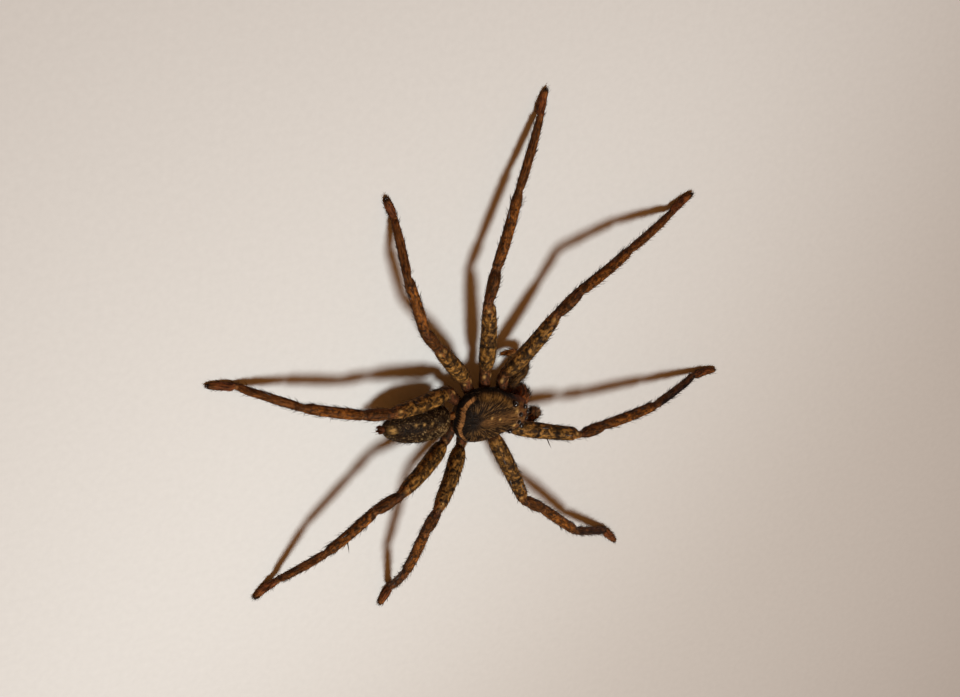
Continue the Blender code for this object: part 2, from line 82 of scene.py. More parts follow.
def curveThrough(points, step):
    # Even samples on a smooth curve through the points, whose first three columns are a place
    points = np.asarray(points, float)
    gaps = np.linalg.norm(np.diff(points[:, :3], axis=0), axis=1)
    reach = np.concatenate(([0.0], np.cumsum(gaps)))
    slopes = np.diff(points, axis=0) / gaps[:, None]
    weight = (gaps[:-1] / (gaps[:-1] + gaps[1:]))[:, None]
    tangents = np.vstack((slopes[:1], slopes[:-1] * (1 - weight) + slopes[1:] * weight, slopes[-1:]))
    samples = np.linspace(0, reach[-1], max(int(reach[-1] / step), 3) + 1)
    index = np.clip(np.searchsorted(reach, samples, side="right") - 1, 0, len(gaps) - 1)
    gap = gaps[index][:, None]
    t = (samples - reach[index])[:, None] / gap
    near, far = points[index], points[index + 1]
    out, into = tangents[index] * gap, tangents[index + 1] * gap
    bend, twist = 3 * (far - near) - 2 * out - into, 2 * (near - far) + out + into
    return near + t * out + t * t * bend + t ** 3 * twist, samples


def stationsAt(stations, count):
    # Rows shared evenly along a smooth curve through the stations
    stations = np.asarray(stations, float)
    last = len(stations) - 1
    places = np.linspace(0, last, count)
    index = np.minimum(places.astype(int), last - 1)
    share = (places - index)[:, None]
    a, b, c, d = (stations[np.clip(index + shift, 0, last)] for shift in (-1, 0, 1, 2))
    return b + 0.5 * share * (c - a + share * (2 * a - 5 * b + 4 * c - d + share * (3 * (b - c) + d - a)))


def roughness(points, scale, amount):
    # A slow unevenness that real cuticle has, as a length for each point
    flat = points.reshape(-1, 3) * scale
    values = np.array([noise.noise(Vector(place)) for place in flat])
    return (values * amount).reshape(points.shape[:-1])


def tubeGrid(rows, radii, sides, upright):
    # Rings square to the path; the angle starts on the side that faces upright
    along = unit(np.gradient(rows[:, :3], axis=0))
    side = unit(np.cross(along, upright))
    top = np.cross(side, along)
    angle = np.linspace(0, 2 * math.pi, sides, endpoint=False)
    outward = top[:, None] * np.cos(angle)[None, :, None] + side[:, None] * np.sin(angle)[None, :, None]
    grid = rows[:, None, :3] + outward * radii[..., None]
    return grid, angle, along


def turnedFromTop(angle, count):
    # The angle of each point of a tube, from minus to plus half a turn
    return np.repeat(np.where(angle > math.pi, angle - 2 * math.pi, angle)[None], count, axis=0)


def wrapOf(angle, share):
    # Where a tube's points lie on the map, with a small margin
    around = np.repeat((angle / (2 * math.pi))[None], len(share), axis=0)
    return np.stack((0.02 + 0.96 * around, 0.02 + 0.96 * share), axis=-1)


def addPiece(name, points, faces, collection=None):
    mesh = bpy.data.meshes.new(name)
    mesh.from_pydata((points * mm).tolist(), [], faces)
    piece = bpy.data.objects.new(name, mesh)
    (collection or bpy.context.scene.collection).objects.link(piece)
    return piece


def gridFaces(rings, sides, first=0):
    # Quads between the rings of a tube, with a fan to a middle point at each end
    faces = []
    for i in range(rings - 1):
        for j in range(sides):
            k = (j + 1) % sides
            a = first + i * sides
            faces.append((a + j, a + k, a + sides + k, a + sides + j))
    tail = first + rings * sides
    last = first + (rings - 1) * sides
    for j in range(sides):
        k = (j + 1) % sides
        faces.append((tail, first + k, first + j))
        faces.append((tail + 1, last + j, last + k))
    return faces


def withEnds(values):
    # A grid's values as rows, with those of the two middle points of its ends
    flat = values.reshape((-1,) + values.shape[2:])
    return np.concatenate((flat, values[:1].mean(axis=1), values[-1:].mean(axis=1)))


def smoothStep(low, high, values):
    t = np.clip((values - low) / (high - low), 0, 1)
    return t * t * (3 - 2 * t)


def bump(values, middle, width):
    return np.exp(-((values - middle) / width) ** 2)


def mixTone(tone, other, share):
    share = np.clip(share, 0, 1)[..., None]
    return tone * (1 - share) + np.asarray(other) * share


# Colours of the cuticle and its short hair, linear
tones = {
    "tan": (0.260, 0.130, 0.034), "olive": (0.153, 0.078, 0.026), "knee": (0.098, 0.037, 0.011),
    # tip: the left palp's orange end made far brighter than orange, as painted light; the orange itself is
    # its own colour
    "orange": (0.193, 0.071, 0.017), "tip": (0.750, 0.360, 0.120), "hip": (0.074, 0.025, 0.010),
    "shin": (0.210, 0.075, 0.016), "heel": (0.150, 0.055, 0.015), "toe": (0.124, 0.040, 0.014),
    "dark": (0.024, 0.013, 0.007), "black": (0.009, 0.007, 0.006), "blue": (0.008, 0.007, 0.010),
    "membrane": (0.15, 0.065, 0.024), "pale": (0.36, 0.24, 0.12), "streak": (0.018, 0.009, 0.004),
    "band": (0.110, 0.052, 0.018), "crescent": (0.300, 0.145, 0.055), "ring": (0.30, 0.19, 0.13),
    "jaw": (0.320, 0.110, 0.035), "brown": (0.460, 0.250, 0.120), "belly": (0.018, 0.009, 0.004),
    "under": (0.085, 0.048, 0.021),
}
legTones = (
    # kinds passed from the hip, colour
    (0.0, "hip"), (0.93, "hip"), (1.0, "membrane"), (1.05, "hip"), (1.12, "tan"), (1.8, "tan"),
    (1.93, "orange"), (2.0, "membrane"), (2.06, "hip"), (2.2, "knee"), (2.8, "knee"), (2.94, "hip"),
    (3.0, "membrane"), (3.04, "heel"), (3.16, "shin"), (3.78, "shin"), (3.94, "heel"),
    (4.0, "membrane"), (4.03, "heel"), (4.96, "heel"),
    (5.0, "membrane"), (5.06, "toe"), (5.62, "toe"), (5.86, "heel"), (5.97, "dark"), (6.0, "black"),
)
legMarks = {
    # kinds passed, then strength or width
    "speckle": ((0.0, 0.8), (0.9, 0.85), (1.08, 1.0), (1.9, 0.95), (2.1, 0.6), (2.9, 0.55), (3.2, 0.62),
                (3.9, 0.55), (4.1, 0.35), (5.0, 0.3), (6.0, 0.1)),
    "bands": ((1.2, 0.035), (1.43, 0.045), (1.66, 0.045), (1.86, 0.03)), "bandStrength": 0.85,
    "faintBands": ((3.12, 0.05), (3.5, 0.06), (3.9, 0.04)), "faintStrength": 0.4,
    "sideAngle": 1.9, "sideWidth": 0.6, "sideStrength": 0.6,
    "topWidth": 1.1, "topStrength": 0.1,         # of a leg that darkTops doesn't name
    "darkTops": {"leg_1_right": 1.0, "leg_2_right": 0.9, "leg_3_right": 0.3},
    "endSpots": (1.925, 0.6, 0.34),              # kinds from the hip, angle, size in mm
    "hipSpots": (0.86, 0.7, 0.24), "hipLength": 3.0, "spotEdge": 1.4,
    "hair": ((0.0, 0.5), (0.9, 0.6), (1.3, 0.85), (3.0, 1.1), (4.0, 1.4), (5.6, 1.6), (6.0, 2.4)),
    "hairLength": ((0, 0.35), (1.5, 0.4), (3, 0.45), (4, 0.45), (5, 0.4), (6, 0.35)),
    "grainShift": (17.0, 9.0, 5.0), "flowShift": (7.0, 19.0, 3.0), "flowStretch": (0.3, 1.3),
}
sources = []                                 # what each part of the skin carries, point by point


def carry(points, grain, tone, band=0.0, spot=0.0, speckle=0.0, pale=0.0, lie=None, hair=1.0, hairLength=0.42,
          flow=None, wrap=None, streaks=0.0, kind=0.0):
    count = len(points)

    def filled(value, width):
        value = np.asarray(value, float)
        if width > 1:
            return np.broadcast_to(value, (count, width)).copy()
        return np.broadcast_to(value, (count,)).copy()

    sources.append({
        "points": points, "place": filled(grain, 3), "tone": filled(tone, 3),
        "marks": np.stack([filled(value, 1) for value in (band, spot, speckle, pale)], axis=1),
        "lie": filled(lie, 3), "hair": filled(hair, 1), "hairLength": filled(hairLength, 1),
        "flow": filled(flow, 3), "wrap": filled(wrap, 2), "streaks": filled(streaks, 1),
        "kind": filled(kind, 1),
    })


legs = {
    "kinds": ("femur", "patella", "tibia", "metatarsus", "tarsus"),
    "lengths": (
        (13.4, 5.4, 12.0, 12.2, 5.4), (14.6, 5.1, 12.8, 11.6, 4.4),
        (11.5, 4.8, 9.7, 9.5, 3.7), (12.6, 4.8, 10.3, 10.7, 4.9),
    ),
    "hips": ((4.6, 1.75), (1.7, 2.2), (-0.7, 2.4), (-2.8, 1.7)), "hipHeight": 4.8,
    "rootHeight": 5.0, "toeHeight": 0.5,
    # pair, thigh root, headings in degrees, heights of the joints
    "poses": {
        "leg_1_left": (1, (5.1, 5.3), (60, 62, 22, 13, 30), (7.6, 9.3, 6.4, 1.4)),
        "leg_2_left": (2, (1.3, 6.9), (102, 75, 74, 70, 75), (7.4, 6.3, 4.3, 1.5)),
        "leg_3_left": (3, (-2.5, 6.1), (133, 131, 110, 91, 117), (7.6, 8.2, 6.5, 0.7)),
        "leg_4_left": (4, (-5.4, 4.05), (178, 178, 167, 165, 171), (8.6, 7.8, 6.2, 0.7)),
        "leg_1_right": (1, (6.5, -4.2), (-8, 0, 3, 5, -2), (9.3, 8.1, 6.2, 1.3)),
        "leg_2_right": (2, (4.2, -5.1), (-62, -33, -40, -26, -45), (7.6, 7.5, 5.0, 0.7)),
        "leg_3_right": (3, (-1.4, -6.5), (-131, -98, -98, -77, -113), (10.7, 9.2, 6.9, 0.7)),
        "leg_4_right": (4, (-4.7, -5.3), (-157, -135, -134, -123, -134), (10.4, 8.8, 7.2, 1.5)),
    },
    "radii": {"femur": 1.38, "patella": 1.02, "tibia": 0.92, "metatarsus": 0.75, "tarsus": 0.71},
    "outlines": {
        "femur": ((0.1, 0.86), (0.18, 0.98), (0.35, 1.0), (0.6, 0.94), (0.8, 0.87), (0.91, 0.77)),
        "patella": ((0.2, 0.9), (0.42, 0.98), (0.68, 1.0), (0.84, 0.92)),
        "tibia": ((0.09, 0.95), (0.22, 1.0), (0.5, 0.98), (0.78, 0.94), (0.91, 0.9)),
        "metatarsus": ((0.09, 0.96), (0.3, 1.0), (0.6, 0.96), (0.9, 0.86)),
        "tarsus": ((0.12, 0.88), (0.4, 1.0), (0.64, 0.95), (0.86, 0.74), (0.97, 0.48)),
    },
    "arch": {"femur": 0.035, "patella": 0.02, "tibia": 0.02, "metatarsus": 0.015},
    "jointRadii": (0.96, 0.84, 0.82, 0.66, 0.58), "pinched": {
        "leg_1_right": (1, 0.62), "leg_3_right": (0, 0.88), "leg_4_right": (0, 0.88),
    },
    "hipShares": (0.0, 0.35, 0.68), "hipRadii": (0.86, 0.94, 0.98),
    "clawRadius": 0.24, "padShare": 0.5, "padLift": 0.12,
    "collar": ((-0.5, 1.05), (-0.2, 1.03), (0.0, 0.9), (0.2, 0.97), (0.5, 1.03)),   # mm past a joint, radius
    "step": 0.26, "sides": 30, "lowest": 0.03,
    "unevenness": (0.9, 0.035),              # how close, and how high in mm
}


def legJoints(pair, root, headings, heights):
    joints = [np.array((*root, legs["rootHeight"]))]
    for length, heading, height in zip(legs["lengths"][pair - 1], headings, (*heights, legs["toeHeight"])):
        rise = height - joints[-1][2]
        reach = math.sqrt(length ** 2 - rise ** 2)
        turn = math.radians(heading)
        joints.append(joints[-1] + np.array((reach * math.cos(turn), reach * math.sin(turn), rise)))
    return joints


def legRows(name):
    # Points along a leg with their radius and how many kinds of segment they have passed
    pair, root, headings, heights = legs["poses"][name]
    joints = legJoints(pair, root, headings, heights)
    hipX, hipY = legs["hips"][pair - 1]
    inner = onBody((hipX, math.copysign(hipY, root[1]), legs["hipHeight"]))
    ways = [unit(joints[0] - inner)] + [unit(b - a) for a, b in zip(joints, joints[1:])]
    middles = [unit(a + b) for a, b in zip(ways, ways[1:])]
    rows = [
        (*(inner + (joints[0] - inner) * share), radius, share)
        for share, radius in zip(legs["hipShares"], legs["hipRadii"])
    ]
    radii = list(legs["jointRadii"])
    if name in legs["pinched"]:
        radii[legs["pinched"][name][0]] = legs["pinched"][name][1]
    for index, kind in enumerate(legs["kinds"]):
        near, far = joints[index], joints[index + 1]
        run = far - near
        length = np.linalg.norm(run)
        before = np.linalg.norm(near - inner) if index == 0 else legs["lengths"][pair - 1][index - 1]
        for past, size in legs["collar"]:
            share = past / (length if past > 0 else before)
            rows.append((*(near + middles[index] * past), radii[index] * size, index + 1 + share))
        top = unit(np.cross(np.cross(run, up), run))
        for share, size in legs["outlines"][kind]:
            lift = legs["arch"].get(kind, 0.0) * length * math.sin(math.pi * share)
            place = near + run * share + top * lift
            if kind == "tarsus":
                padTop = legs["toeHeight"] + legs["padLift"]
                place[2] = legs["toeHeight"]
                if share < legs["padShare"]:
                    place[2] = near[2] + (padTop - near[2]) * share / legs["padShare"]
            rows.append((*place, size * legs["radii"][kind], index + 1 + share))
    rows.append((*joints[-1], legs["clawRadius"] * 0.7, 6.0))
    return np.array(rows), joints


def buildLeg(name, index):
    rows, joints = legRows(name)
    rows, reach = curveThrough(rows, legs["step"])
    sides = legs["sides"]
    radii = np.repeat((rows[:, 3] - skinDepth)[:, None], sides, axis=1)
    grid, angle, along = tubeGrid(rows, radii, sides, up)
    grid += unit(grid - rows[:, None, :3]) * roughness(grid, *legs["unevenness"])[..., None]
    grid[..., 2] = np.maximum(grid[..., 2], legs["lowest"])
    passed = np.repeat(rows[:, 4:5], sides, axis=1)
    turned = turnedFromTop(angle, len(rows))
    reached = np.repeat(reach[:, None], sides, axis=1)

    tone = np.stack([
        np.interp(passed, [stop for stop, _ in legTones], [tones[word][i] for _, word in legTones])
        for i in range(3)
    ], axis=-1)
    speckle = np.interp(passed, *zip(*legMarks["speckle"]))
    band = sum(bump(passed, *place) for place in legMarks["bands"]) * legMarks["bandStrength"]
    band += sum(bump(passed, *place) for place in legMarks["faintBands"]) * legMarks["faintStrength"]
    flank = bump(np.abs(turned), legMarks["sideAngle"], legMarks["sideWidth"])
    flank = flank * smoothStep(2.9, 3.1, passed) * (1 - smoothStep(5.0, 5.2, passed))
    tone = mixTone(tone, tones["dark"], flank * legMarks["sideStrength"])
    onTop = bump(turned, 0.0, legMarks["topWidth"])
    onTop = onTop * smoothStep(3.95, 4.1, passed) * (1 - smoothStep(4.98, 5.05, passed))
    tone = mixTone(tone, tones["blue"], onTop * legMarks["darkTops"].get(name, legMarks["topStrength"]))
    spot = np.zeros_like(passed)
    lengths = (legMarks["hipLength"], *legs["lengths"][legs["poses"][name][0] - 1])
    for at, off, size in (legMarks["endSpots"], legMarks["hipSpots"]):
        for side in (-1, 1):
            away = ((passed - at) * lengths[int(at)]) ** 2 + ((turned - side * off) * rows[:, 3:4]) ** 2
            spot = np.maximum(spot, np.exp(-away / size ** 2 * legMarks["spotEdge"]))
    radius = np.repeat(rows[:, 3:4], sides, axis=1)
    around = np.stack((np.cos(turned) * radius, np.sin(turned) * radius), axis=-1)
    grain = np.concatenate((reached[..., None], around), axis=-1) + index * np.array(legMarks["grainShift"])
    length, girth = legMarks["flowStretch"]
    flow = np.concatenate((reached[..., None] * length, around * girth), axis=-1)
    flow = flow + index * np.array(legMarks["flowShift"])
    lie = np.repeat(along[:, None], sides, axis=1)
    points = withEnds(grid)
    carry(
        points, withEnds(grain), withEnds(tone), band=withEnds(band), spot=withEnds(spot),
        speckle=withEnds(speckle), lie=withEnds(lie), flow=withEnds(flow),
        wrap=withEnds(wrapOf(angle, reached / reach[-1])),
        hair=withEnds(np.interp(passed, *zip(*legMarks["hair"]))),
        hairLength=withEnds(np.interp(passed, *zip(*legMarks["hairLength"]))), kind=index + 1,
    )
    return points, gridFaces(len(rows), sides), joints


shell = {
    # x, half width, top, edge, half width below, bottom, and how boxy the back is
    "stations": (
        (-3.9, 1.9, 6.7, 6.0, 0.9, 5.0, 0.4), (-3.3, 3.15, 7.8, 6.0, 1.5, 4.3, 0.4),
        (-2.2, 4.2, 8.7, 6.0, 2.1, 3.8, 0.4), (-0.6, 4.7, 9.05, 6.0, 2.6, 3.6, 0.4),
        (1.2, 4.75, 9.1, 6.0, 2.8, 3.6, 0.4), (3.0, 4.4, 9.05, 6.0, 2.7, 3.6, 0.4),
        (4.8, 3.5, 9.05, 6.0, 2.4, 3.6, 0.36), (6.4, 2.9, 8.95, 6.0, 2.1, 3.5, 0.3),
        (7.8, 2.45, 8.5, 6.1, 1.9, 3.7, 0.28), (8.7, 1.85, 7.8, 6.3, 1.2, 4.7, 0.3),
        (9.2, 1.1, 7.3, 6.4, 0.5, 5.2, 0.35),
    ),
    "edgeThickness": 0.4, "keelShare": 0.6,
    "rings": 150, "domeSteps": 44, "underSteps": 20,
    "endRound": 0.3,                         # how far the flat ends are rounded over
    "fovea": (-2.0, 0.0), "foveaLength": 1.3, "foveaDepth": 0.22, "foveaWidth": 0.14,
    "grooveTurns": (42, 72, 103, 134),       # degrees from the head, to each leg
    "grooveDepth": 0.12, "grooveWidth": 6.5, "grooveReach": 3.9,
    # dots: two painted highlights on the middle band, glints of the lamp on one side of the midline only
    "bandLean": 0.08, "dots": ((1.07, 0.68), (2.68, 0.3)),
    "neckTurn": 26, "neckWidth": 5.0, "neckDepth": 0.16, "neckReach": 5.6,
    "bandWidths": ((-1.2, 0.12), (-0.2, 0.6), (1.5, 1.05), (4.5, 1.15), (7.0, 0.8)),
    "rim": (0.85, 0.4),                      # from the edge, and how wide
    "crescent": (0.24, 0.32, 0.6, 0.72),     # from the edge, where it starts and ends
    "frontSpots": (5.9, 1.25, 0.3), "dotSize": 0.2, "ringGap": 0.08, "ringWidth": 0.07,
    "ringShares": {"median_rear": 0.75}, "ringShare": 0.3, "unevenness": (0.8, 0.05),
}


def shellGrid():
    rows = stationsAt(shell["stations"], shell["rings"])
    rows = rows[np.argsort(rows[:, 0])]
    first, last = rows[0, 0], rows[-1, 0]
    angle = np.linspace(0, math.pi / 2, shell["domeSteps"] + 1)
    below = np.linspace(0, 1, shell["underSteps"] + 1)[1:]
    grid = []
    for x, halfWidth, top, edge, halfBelow, bottom, power in rows:
        y = halfWidth * np.sin(angle)
        z = edge + (top - edge) * np.maximum(np.cos(angle), 0) ** (2 * power)
        thickness = shell["edgeThickness"]
        under = stationsAt((
            (halfWidth, edge), (halfWidth - thickness * 0.5, edge - thickness),
            ((halfWidth + halfBelow) * 0.5, edge - thickness), (halfBelow, (edge + bottom) * 0.5),
            (halfBelow * shell["keelShare"], bottom), (0.0, bottom),
        ), shell["underSteps"] + 1)[1:]
        half = np.concatenate((np.stack((y, z), axis=1), under))
        ring = np.concatenate((half, (half[1:-1] * (-1, 1))[::-1]))
        end = min(x - first, last - x) / shell["endRound"]
        size = 1.0 if end >= 1 else max(math.sqrt(max(1 - (1 - end) ** 2, 0)), 0.35)
        middle = np.array((0.0, (edge + bottom) * 0.5))
        ring = middle + (ring - middle) * size
        grid.append(np.column_stack((np.full(len(ring), x), ring)))
    return np.array(grid), rows


def shellRelief(x, y):
    # Dents of the back: the middle pit, the grooves to the legs and the neck
    dx, dy = x - shell["fovea"][0], y - shell["fovea"][1]
    away = np.hypot(dx, dy)
    turn = np.degrees(np.arctan2(np.abs(dy), dx))
    pit = np.exp(-(dy / shell["foveaWidth"]) ** 2 - (dx / shell["foveaLength"] * 1.6) ** 2)
    fade = smoothStep(0.5, 1.3, away)
    grooves = sum(bump(turn, middle, shell["grooveWidth"]) for middle in shell["grooveTurns"])
    grooves = grooves * fade * (1 - smoothStep(shell["grooveReach"] - 1.2, shell["grooveReach"], away))
    neck = bump(turn, shell["neckTurn"], shell["neckWidth"]) * fade
    neck = neck * (1 - smoothStep(shell["neckReach"] - 2, shell["neckReach"], away))
    return -(pit * shell["foveaDepth"] + grooves * shell["grooveDepth"] + neck * shell["neckDepth"])


def outlineAway(x, y, rows):
    # Distance in plan to the shell's edge
    edge = np.concatenate((
        np.stack((rows[:, 0], rows[:, 1]), axis=1), np.stack((rows[::-1, 0], -rows[::-1, 1]), axis=1),
        np.stack((np.full(9, rows[0, 0]), np.linspace(-rows[0, 1], rows[0, 1], 9)), axis=1),
    ))
    away = np.full(x.shape, 99.0)
    for place in edge:
        away = np.minimum(away, np.hypot(x - place[0], y - place[1]))
    return away


def buildShell():
    grid, rows = shellGrid()
    x, y, z = grid[..., 0], grid[..., 1], grid[..., 2]
    edge = np.repeat(rows[:, 3:4], grid.shape[1], axis=1)
    onTop = smoothStep(0.05, 0.6, z - edge)
    grid[..., 2] = z + shellRelief(x, y) * onTop - skinDepth * 0.5 * onTop
    grid[..., 2] += roughness(grid, *shell["unevenness"]) * onTop
    away = outlineAway(x, y, rows)
    dx, dy = x - shell["fovea"][0], y - shell["fovea"][1]
    reach, turn = np.hypot(dx, dy), np.arctan2(dy, dx)
    isTop = smoothStep(-0.25, 0.0, z - edge)
    tone = np.broadcast_to(np.array(tones["dark"]), grid.shape).copy()
    flanks = smoothStep(0.9, 2.2, reach) * smoothStep(0.15, 0.5, away) * smoothStep(-3.0, -1.6, x)
    tone = mixTone(tone, tones["streak"], flanks * 0.7)
    rim = bump(away, *shell["rim"]) * smoothStep(0.8, 2.2, y)
    rim = rim * smoothStep(-1.6, 0.2, x) * (1 - smoothStep(4.4, 5.6, x))
    tone = mixTone(tone, tones["tan"], rim * 0.6)
    sideways = y - shell["bandLean"] * x
    width = np.interp(x, *zip(*shell["bandWidths"]))
    median = np.exp(-(sideways / width) ** 4) * smoothStep(-1.2, -0.1, x) * (1 - smoothStep(6.2, 7.2, x))
    tone = mixTone(tone, tones["band"], median * 0.95)
    rear = smoothStep(-1.5, -2.3, x)
    # painted shade: the rear slope beside the middle band is painted black where it faces away from the lamp
    tone = mixTone(tone, tones["black"], smoothStep(-0.8, -1.9, x) * (1 - median) * 0.85)
    tone = mixTone(tone, tones["black"], (1 - smoothStep(0.12, 0.3, away)) * 0.9)
    starts, full, fades, ends = shell["crescent"]
    crescent = smoothStep(starts, full, away) * (1 - smoothStep(fades, ends, away)) * rear
    tone = mixTone(tone, tones["crescent"], crescent)
    front = smoothStep(5.6, 7.4, x)
    tone = mixTone(tone, tones["jaw"], front * 0.45 * (1 - median))
    face = smoothStep(8.75, 8.95, x) * smoothStep(6.7, 6.9, z) * (1 - smoothStep(7.35, 7.55, z))
    tone = mixTone(tone, tones["pale"], face * 0.75)
    for name, (eyeX, apart, radius) in eyes["places"].items():
        fromEye = np.hypot(x - eyeX, np.abs(y) - apart)
        ring = bump(fromEye, radius + shell["ringGap"], shell["ringWidth"])
        tone = mixTone(tone, tones["ring"], ring * shell["ringShares"].get(name, shell["ringShare"]) * isTop)
    tone = mixTone(tone, tones["under"], 1 - isTop)
    spotX, spotY, spotSize = shell["frontSpots"]
    spot = bump(x, spotX, spotSize) * bump(np.abs(y), spotY, spotSize) * 0.9
    # painted highlight: these dots are glints of the lamp, painted in the spot colour
    for dotX, dotY in shell["dots"]:
        spot = spot + bump(np.hypot(x - dotX, y - dotY), 0.0, shell["dotSize"])
    spot = np.minimum(spot, 1.0) * isTop
    striped = smoothStep(0.2, 0.6, median)
    radial = np.stack((turn * 10.0, reach * 0.3, 0 * x), axis=-1)
    straight = np.stack((x * 0.3 + 40, sideways * 2.2, 0 * x), axis=-1)
    flow = radial * (1 - striped[..., None]) + straight * striped[..., None]
    lie = unit(np.stack((-np.ones_like(x), -0.25 * np.sign(y), -0.2 * np.ones_like(x)), axis=-1))
    column = np.linspace(0, 1, grid.shape[1], endpoint=False)[None] + 0 * x
    wrap = np.stack((0.02 + 0.96 * column, 0.52 + 0.46 * (x - x.min()) / (x.max() - x.min())), axis=-1)
    placed = onBody(grid)
    turned = onBody(lie) - onBody(np.zeros(3))
    points = withEnds(placed)
    plain = isTop * (1 - crescent)
    streaks = np.maximum(flanks * (1 - median), 0.6 * median) * plain
    carry(
        points, withEnds(grid), withEnds(tone), spot=withEnds(spot),
        speckle=withEnds((0.3 + 0.4 * rim) * plain), streaks=withEnds(streaks), lie=withEnds(turned), flow=withEnds(flow + 100), wrap=withEnds(wrap),
        hair=withEnds(0.45 * isTop + 0.2), hairLength=0.34,
    )
    return points, gridFaces(*grid.shape[:2])


belly = {
    # x, half width, top, bottom
    "stations": (
        (-5.1, 1.0, 6.6, 4.6), (-5.7, 2.2, 7.5, 3.8), (-7.4, 2.9, 8.1, 3.2), (-10.4, 3.15, 8.15, 3.1),
        (-13.2, 2.8, 7.6, 3.4), (-15.4, 1.9, 6.7, 3.9), (-16.6, 0.9, 5.9, 4.4),
    ),
    "side": -0.45, "rings": 130, "sides": 84, "endRound": 0.35,
    "dimples": ((-8.2, 0.75), (-10.6, 1.0), (-12.4, 0.8)), "dimpleSize": 0.3, "dimpleDepth": 0.09,
    "dots": (-9.3, -10.7, -12.1), "dotSide": 1.2, "dotSize": 0.2, "rearSpot": (-15.6, 0.25, 0.5),
    "foldDepth": 0.035, "foldSpacing": 0.62,
}

# Where the legs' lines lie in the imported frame, read off the abdomen's box
bellyLow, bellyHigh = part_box("abdomen")
centre = np.array((
    belly["stations"][-1][0] - bellyLow.x / mm,
    belly["side"] - (bellyLow.y + bellyHigh.y) / (2 * mm),
    0.0,
))


def bellyGrid():
    rows = stationsAt(belly["stations"], belly["rings"])
    first, last = rows[0, 0], rows[-1, 0]
    angle = np.linspace(0, 2 * math.pi, belly["sides"], endpoint=False)
    x = rows[:, :1] + 0 * angle[None]
    end = np.minimum(first - rows[:, 0], rows[:, 0] - last) / belly["endRound"]
    size = np.clip(np.sqrt(np.clip(1 - (1 - np.minimum(end, 1)) ** 2, 0, 1)), 0.3, 1)[:, None]
    halfHeight = (rows[:, 2:3] - rows[:, 3:4]) * 0.5 - skinDepth
    y = belly["side"] + (rows[:, 1:2] - skinDepth) * size * np.cos(angle)[None]
    z = (rows[:, 2:3] + rows[:, 3:4]) * 0.5 + halfHeight * size * np.sin(angle)[None]
    return np.stack((x, y, z), axis=-1), rows, angle


def buildBelly():
    grid, rows, angle = bellyGrid()
    x, y, z = grid[..., 0], grid[..., 1] - belly["side"], grid[..., 2]
    middle = np.stack((rows[:, 0], 0 * rows[:, 0] + belly["side"], (rows[:, 2] + rows[:, 3]) * 0.5), axis=-1)
    outward = unit(grid - middle[:, None])
    onTop = smoothStep(-0.2, 0.5, outward[..., 2])
    dent = np.zeros_like(x)
    for place, apart in belly["dimples"]:
        away = np.hypot(x - place, np.abs(y) - apart)
        dent -= np.exp(-(away / belly["dimpleSize"]) ** 2) * belly["dimpleDepth"] * onTop
    sag = np.abs(outward[..., 1])
    dent += np.sin(x / belly["foldSpacing"] * 2 * math.pi) * belly["foldDepth"] * (0.25 + 0.75 * sag)
    dent += roughness(grid, 0.7, 0.09) + roughness(grid, 2.1, 0.03)
    grid = grid + outward * np.minimum(dent - 0.03, 0.04)[..., None]
    tone = np.broadcast_to(np.array(tones["belly"]), grid.shape).copy()
    tone = mixTone(tone, tones["under"], smoothStep(-0.1, -0.7, outward[..., 2]))
    heart = bump(y, 0.0, 0.5) * smoothStep(-11.5, -9, x) * onTop
    tone = mixTone(tone, tones["olive"], heart * 0.35)
    nearFront = bump(x, -7.0, 1.9) * smoothStep(2.4, 0.2, y)
    # painted light: the right flank, which faces the lamp, gets more of the pale flecks; the flecks
    # themselves are the abdomen's own pattern
    litRightSide = smoothStep(0.2, -1.6, y)
    darkPatch = bump(x, -14.3, 1.0) * smoothStep(1.5, -0.6, y)
    pale = onTop * (0.16 + 0.5 * nearFront + 0.22 * litRightSide) * (1 - 0.8 * darkPatch)
    spotX, spotY, spotSize = belly["rearSpot"]
    spot = np.exp(-(((x - spotX) / spotSize) ** 2 + ((y - spotY) / spotSize) ** 2)) * onTop
    for place in belly["dots"]:
        away = ((x - place) ** 2 + (y - belly["dotSide"]) ** 2) / belly["dotSize"] ** 2
        spot += 0.9 * np.exp(-away) * onTop
    lie = np.broadcast_to(unit(np.array((-1.0, 0.0, -0.12))), grid.shape)
    column = (angle / (2 * math.pi))[None] + 0 * x
    wrap = np.stack((0.02 + 0.96 * column, 0.02 + 0.44 * (x - x.min()) / (x.max() - x.min())), axis=-1)
    points = withEnds(grid)
    carry(
        points, withEnds(grid), withEnds(tone), spot=withEnds(spot), speckle=withEnds(0.5 * onTop + 0.25),
        pale=withEnds(pale + 0.1), lie=withEnds(np.array(lie)), flow=withEnds(grid * (0.6, 1.2, 1.2) + 200),
        wrap=withEnds(wrap), hair=0.9, hairLength=0.5,
    )
    return points, gridFaces(*grid.shape[:2])


def buildTube(stations, step, sides, upright, tone, kind=0.0, **more):
    rows, reach = curveThrough(stations, step)
    radii = np.repeat((rows[:, 3] - skinDepth)[:, None], sides, axis=1)
    grid, angle, along = tubeGrid(rows, radii, sides, upright)
    grid += unit(grid - rows[:, None, :3]) * roughness(grid, 1.1, 0.03)[..., None]
    share = np.repeat((reach / reach[-1])[:, None], sides, axis=1)
    turned, wrap = turnedFromTop(angle, len(rows)), wrapOf(angle, share)
    around = np.stack((np.cos(turned) * rows[:, 3:4], np.sin(turned) * rows[:, 3:4]), axis=-1)
    flow = np.concatenate((share[..., None] * reach[-1] * 0.3, around * 1.6), axis=-1) + 300 + kind * 11
    made = tone(share, turned)
    points = withEnds(grid)
    carry(
        points, points, withEnds(made), lie=withEnds(np.repeat(along[:, None], sides, axis=1)),
        flow=withEnds(flow), wrap=withEnds(wrap), kind=kind, **more,
    )
    return points, gridFaces(len(rows), sides)


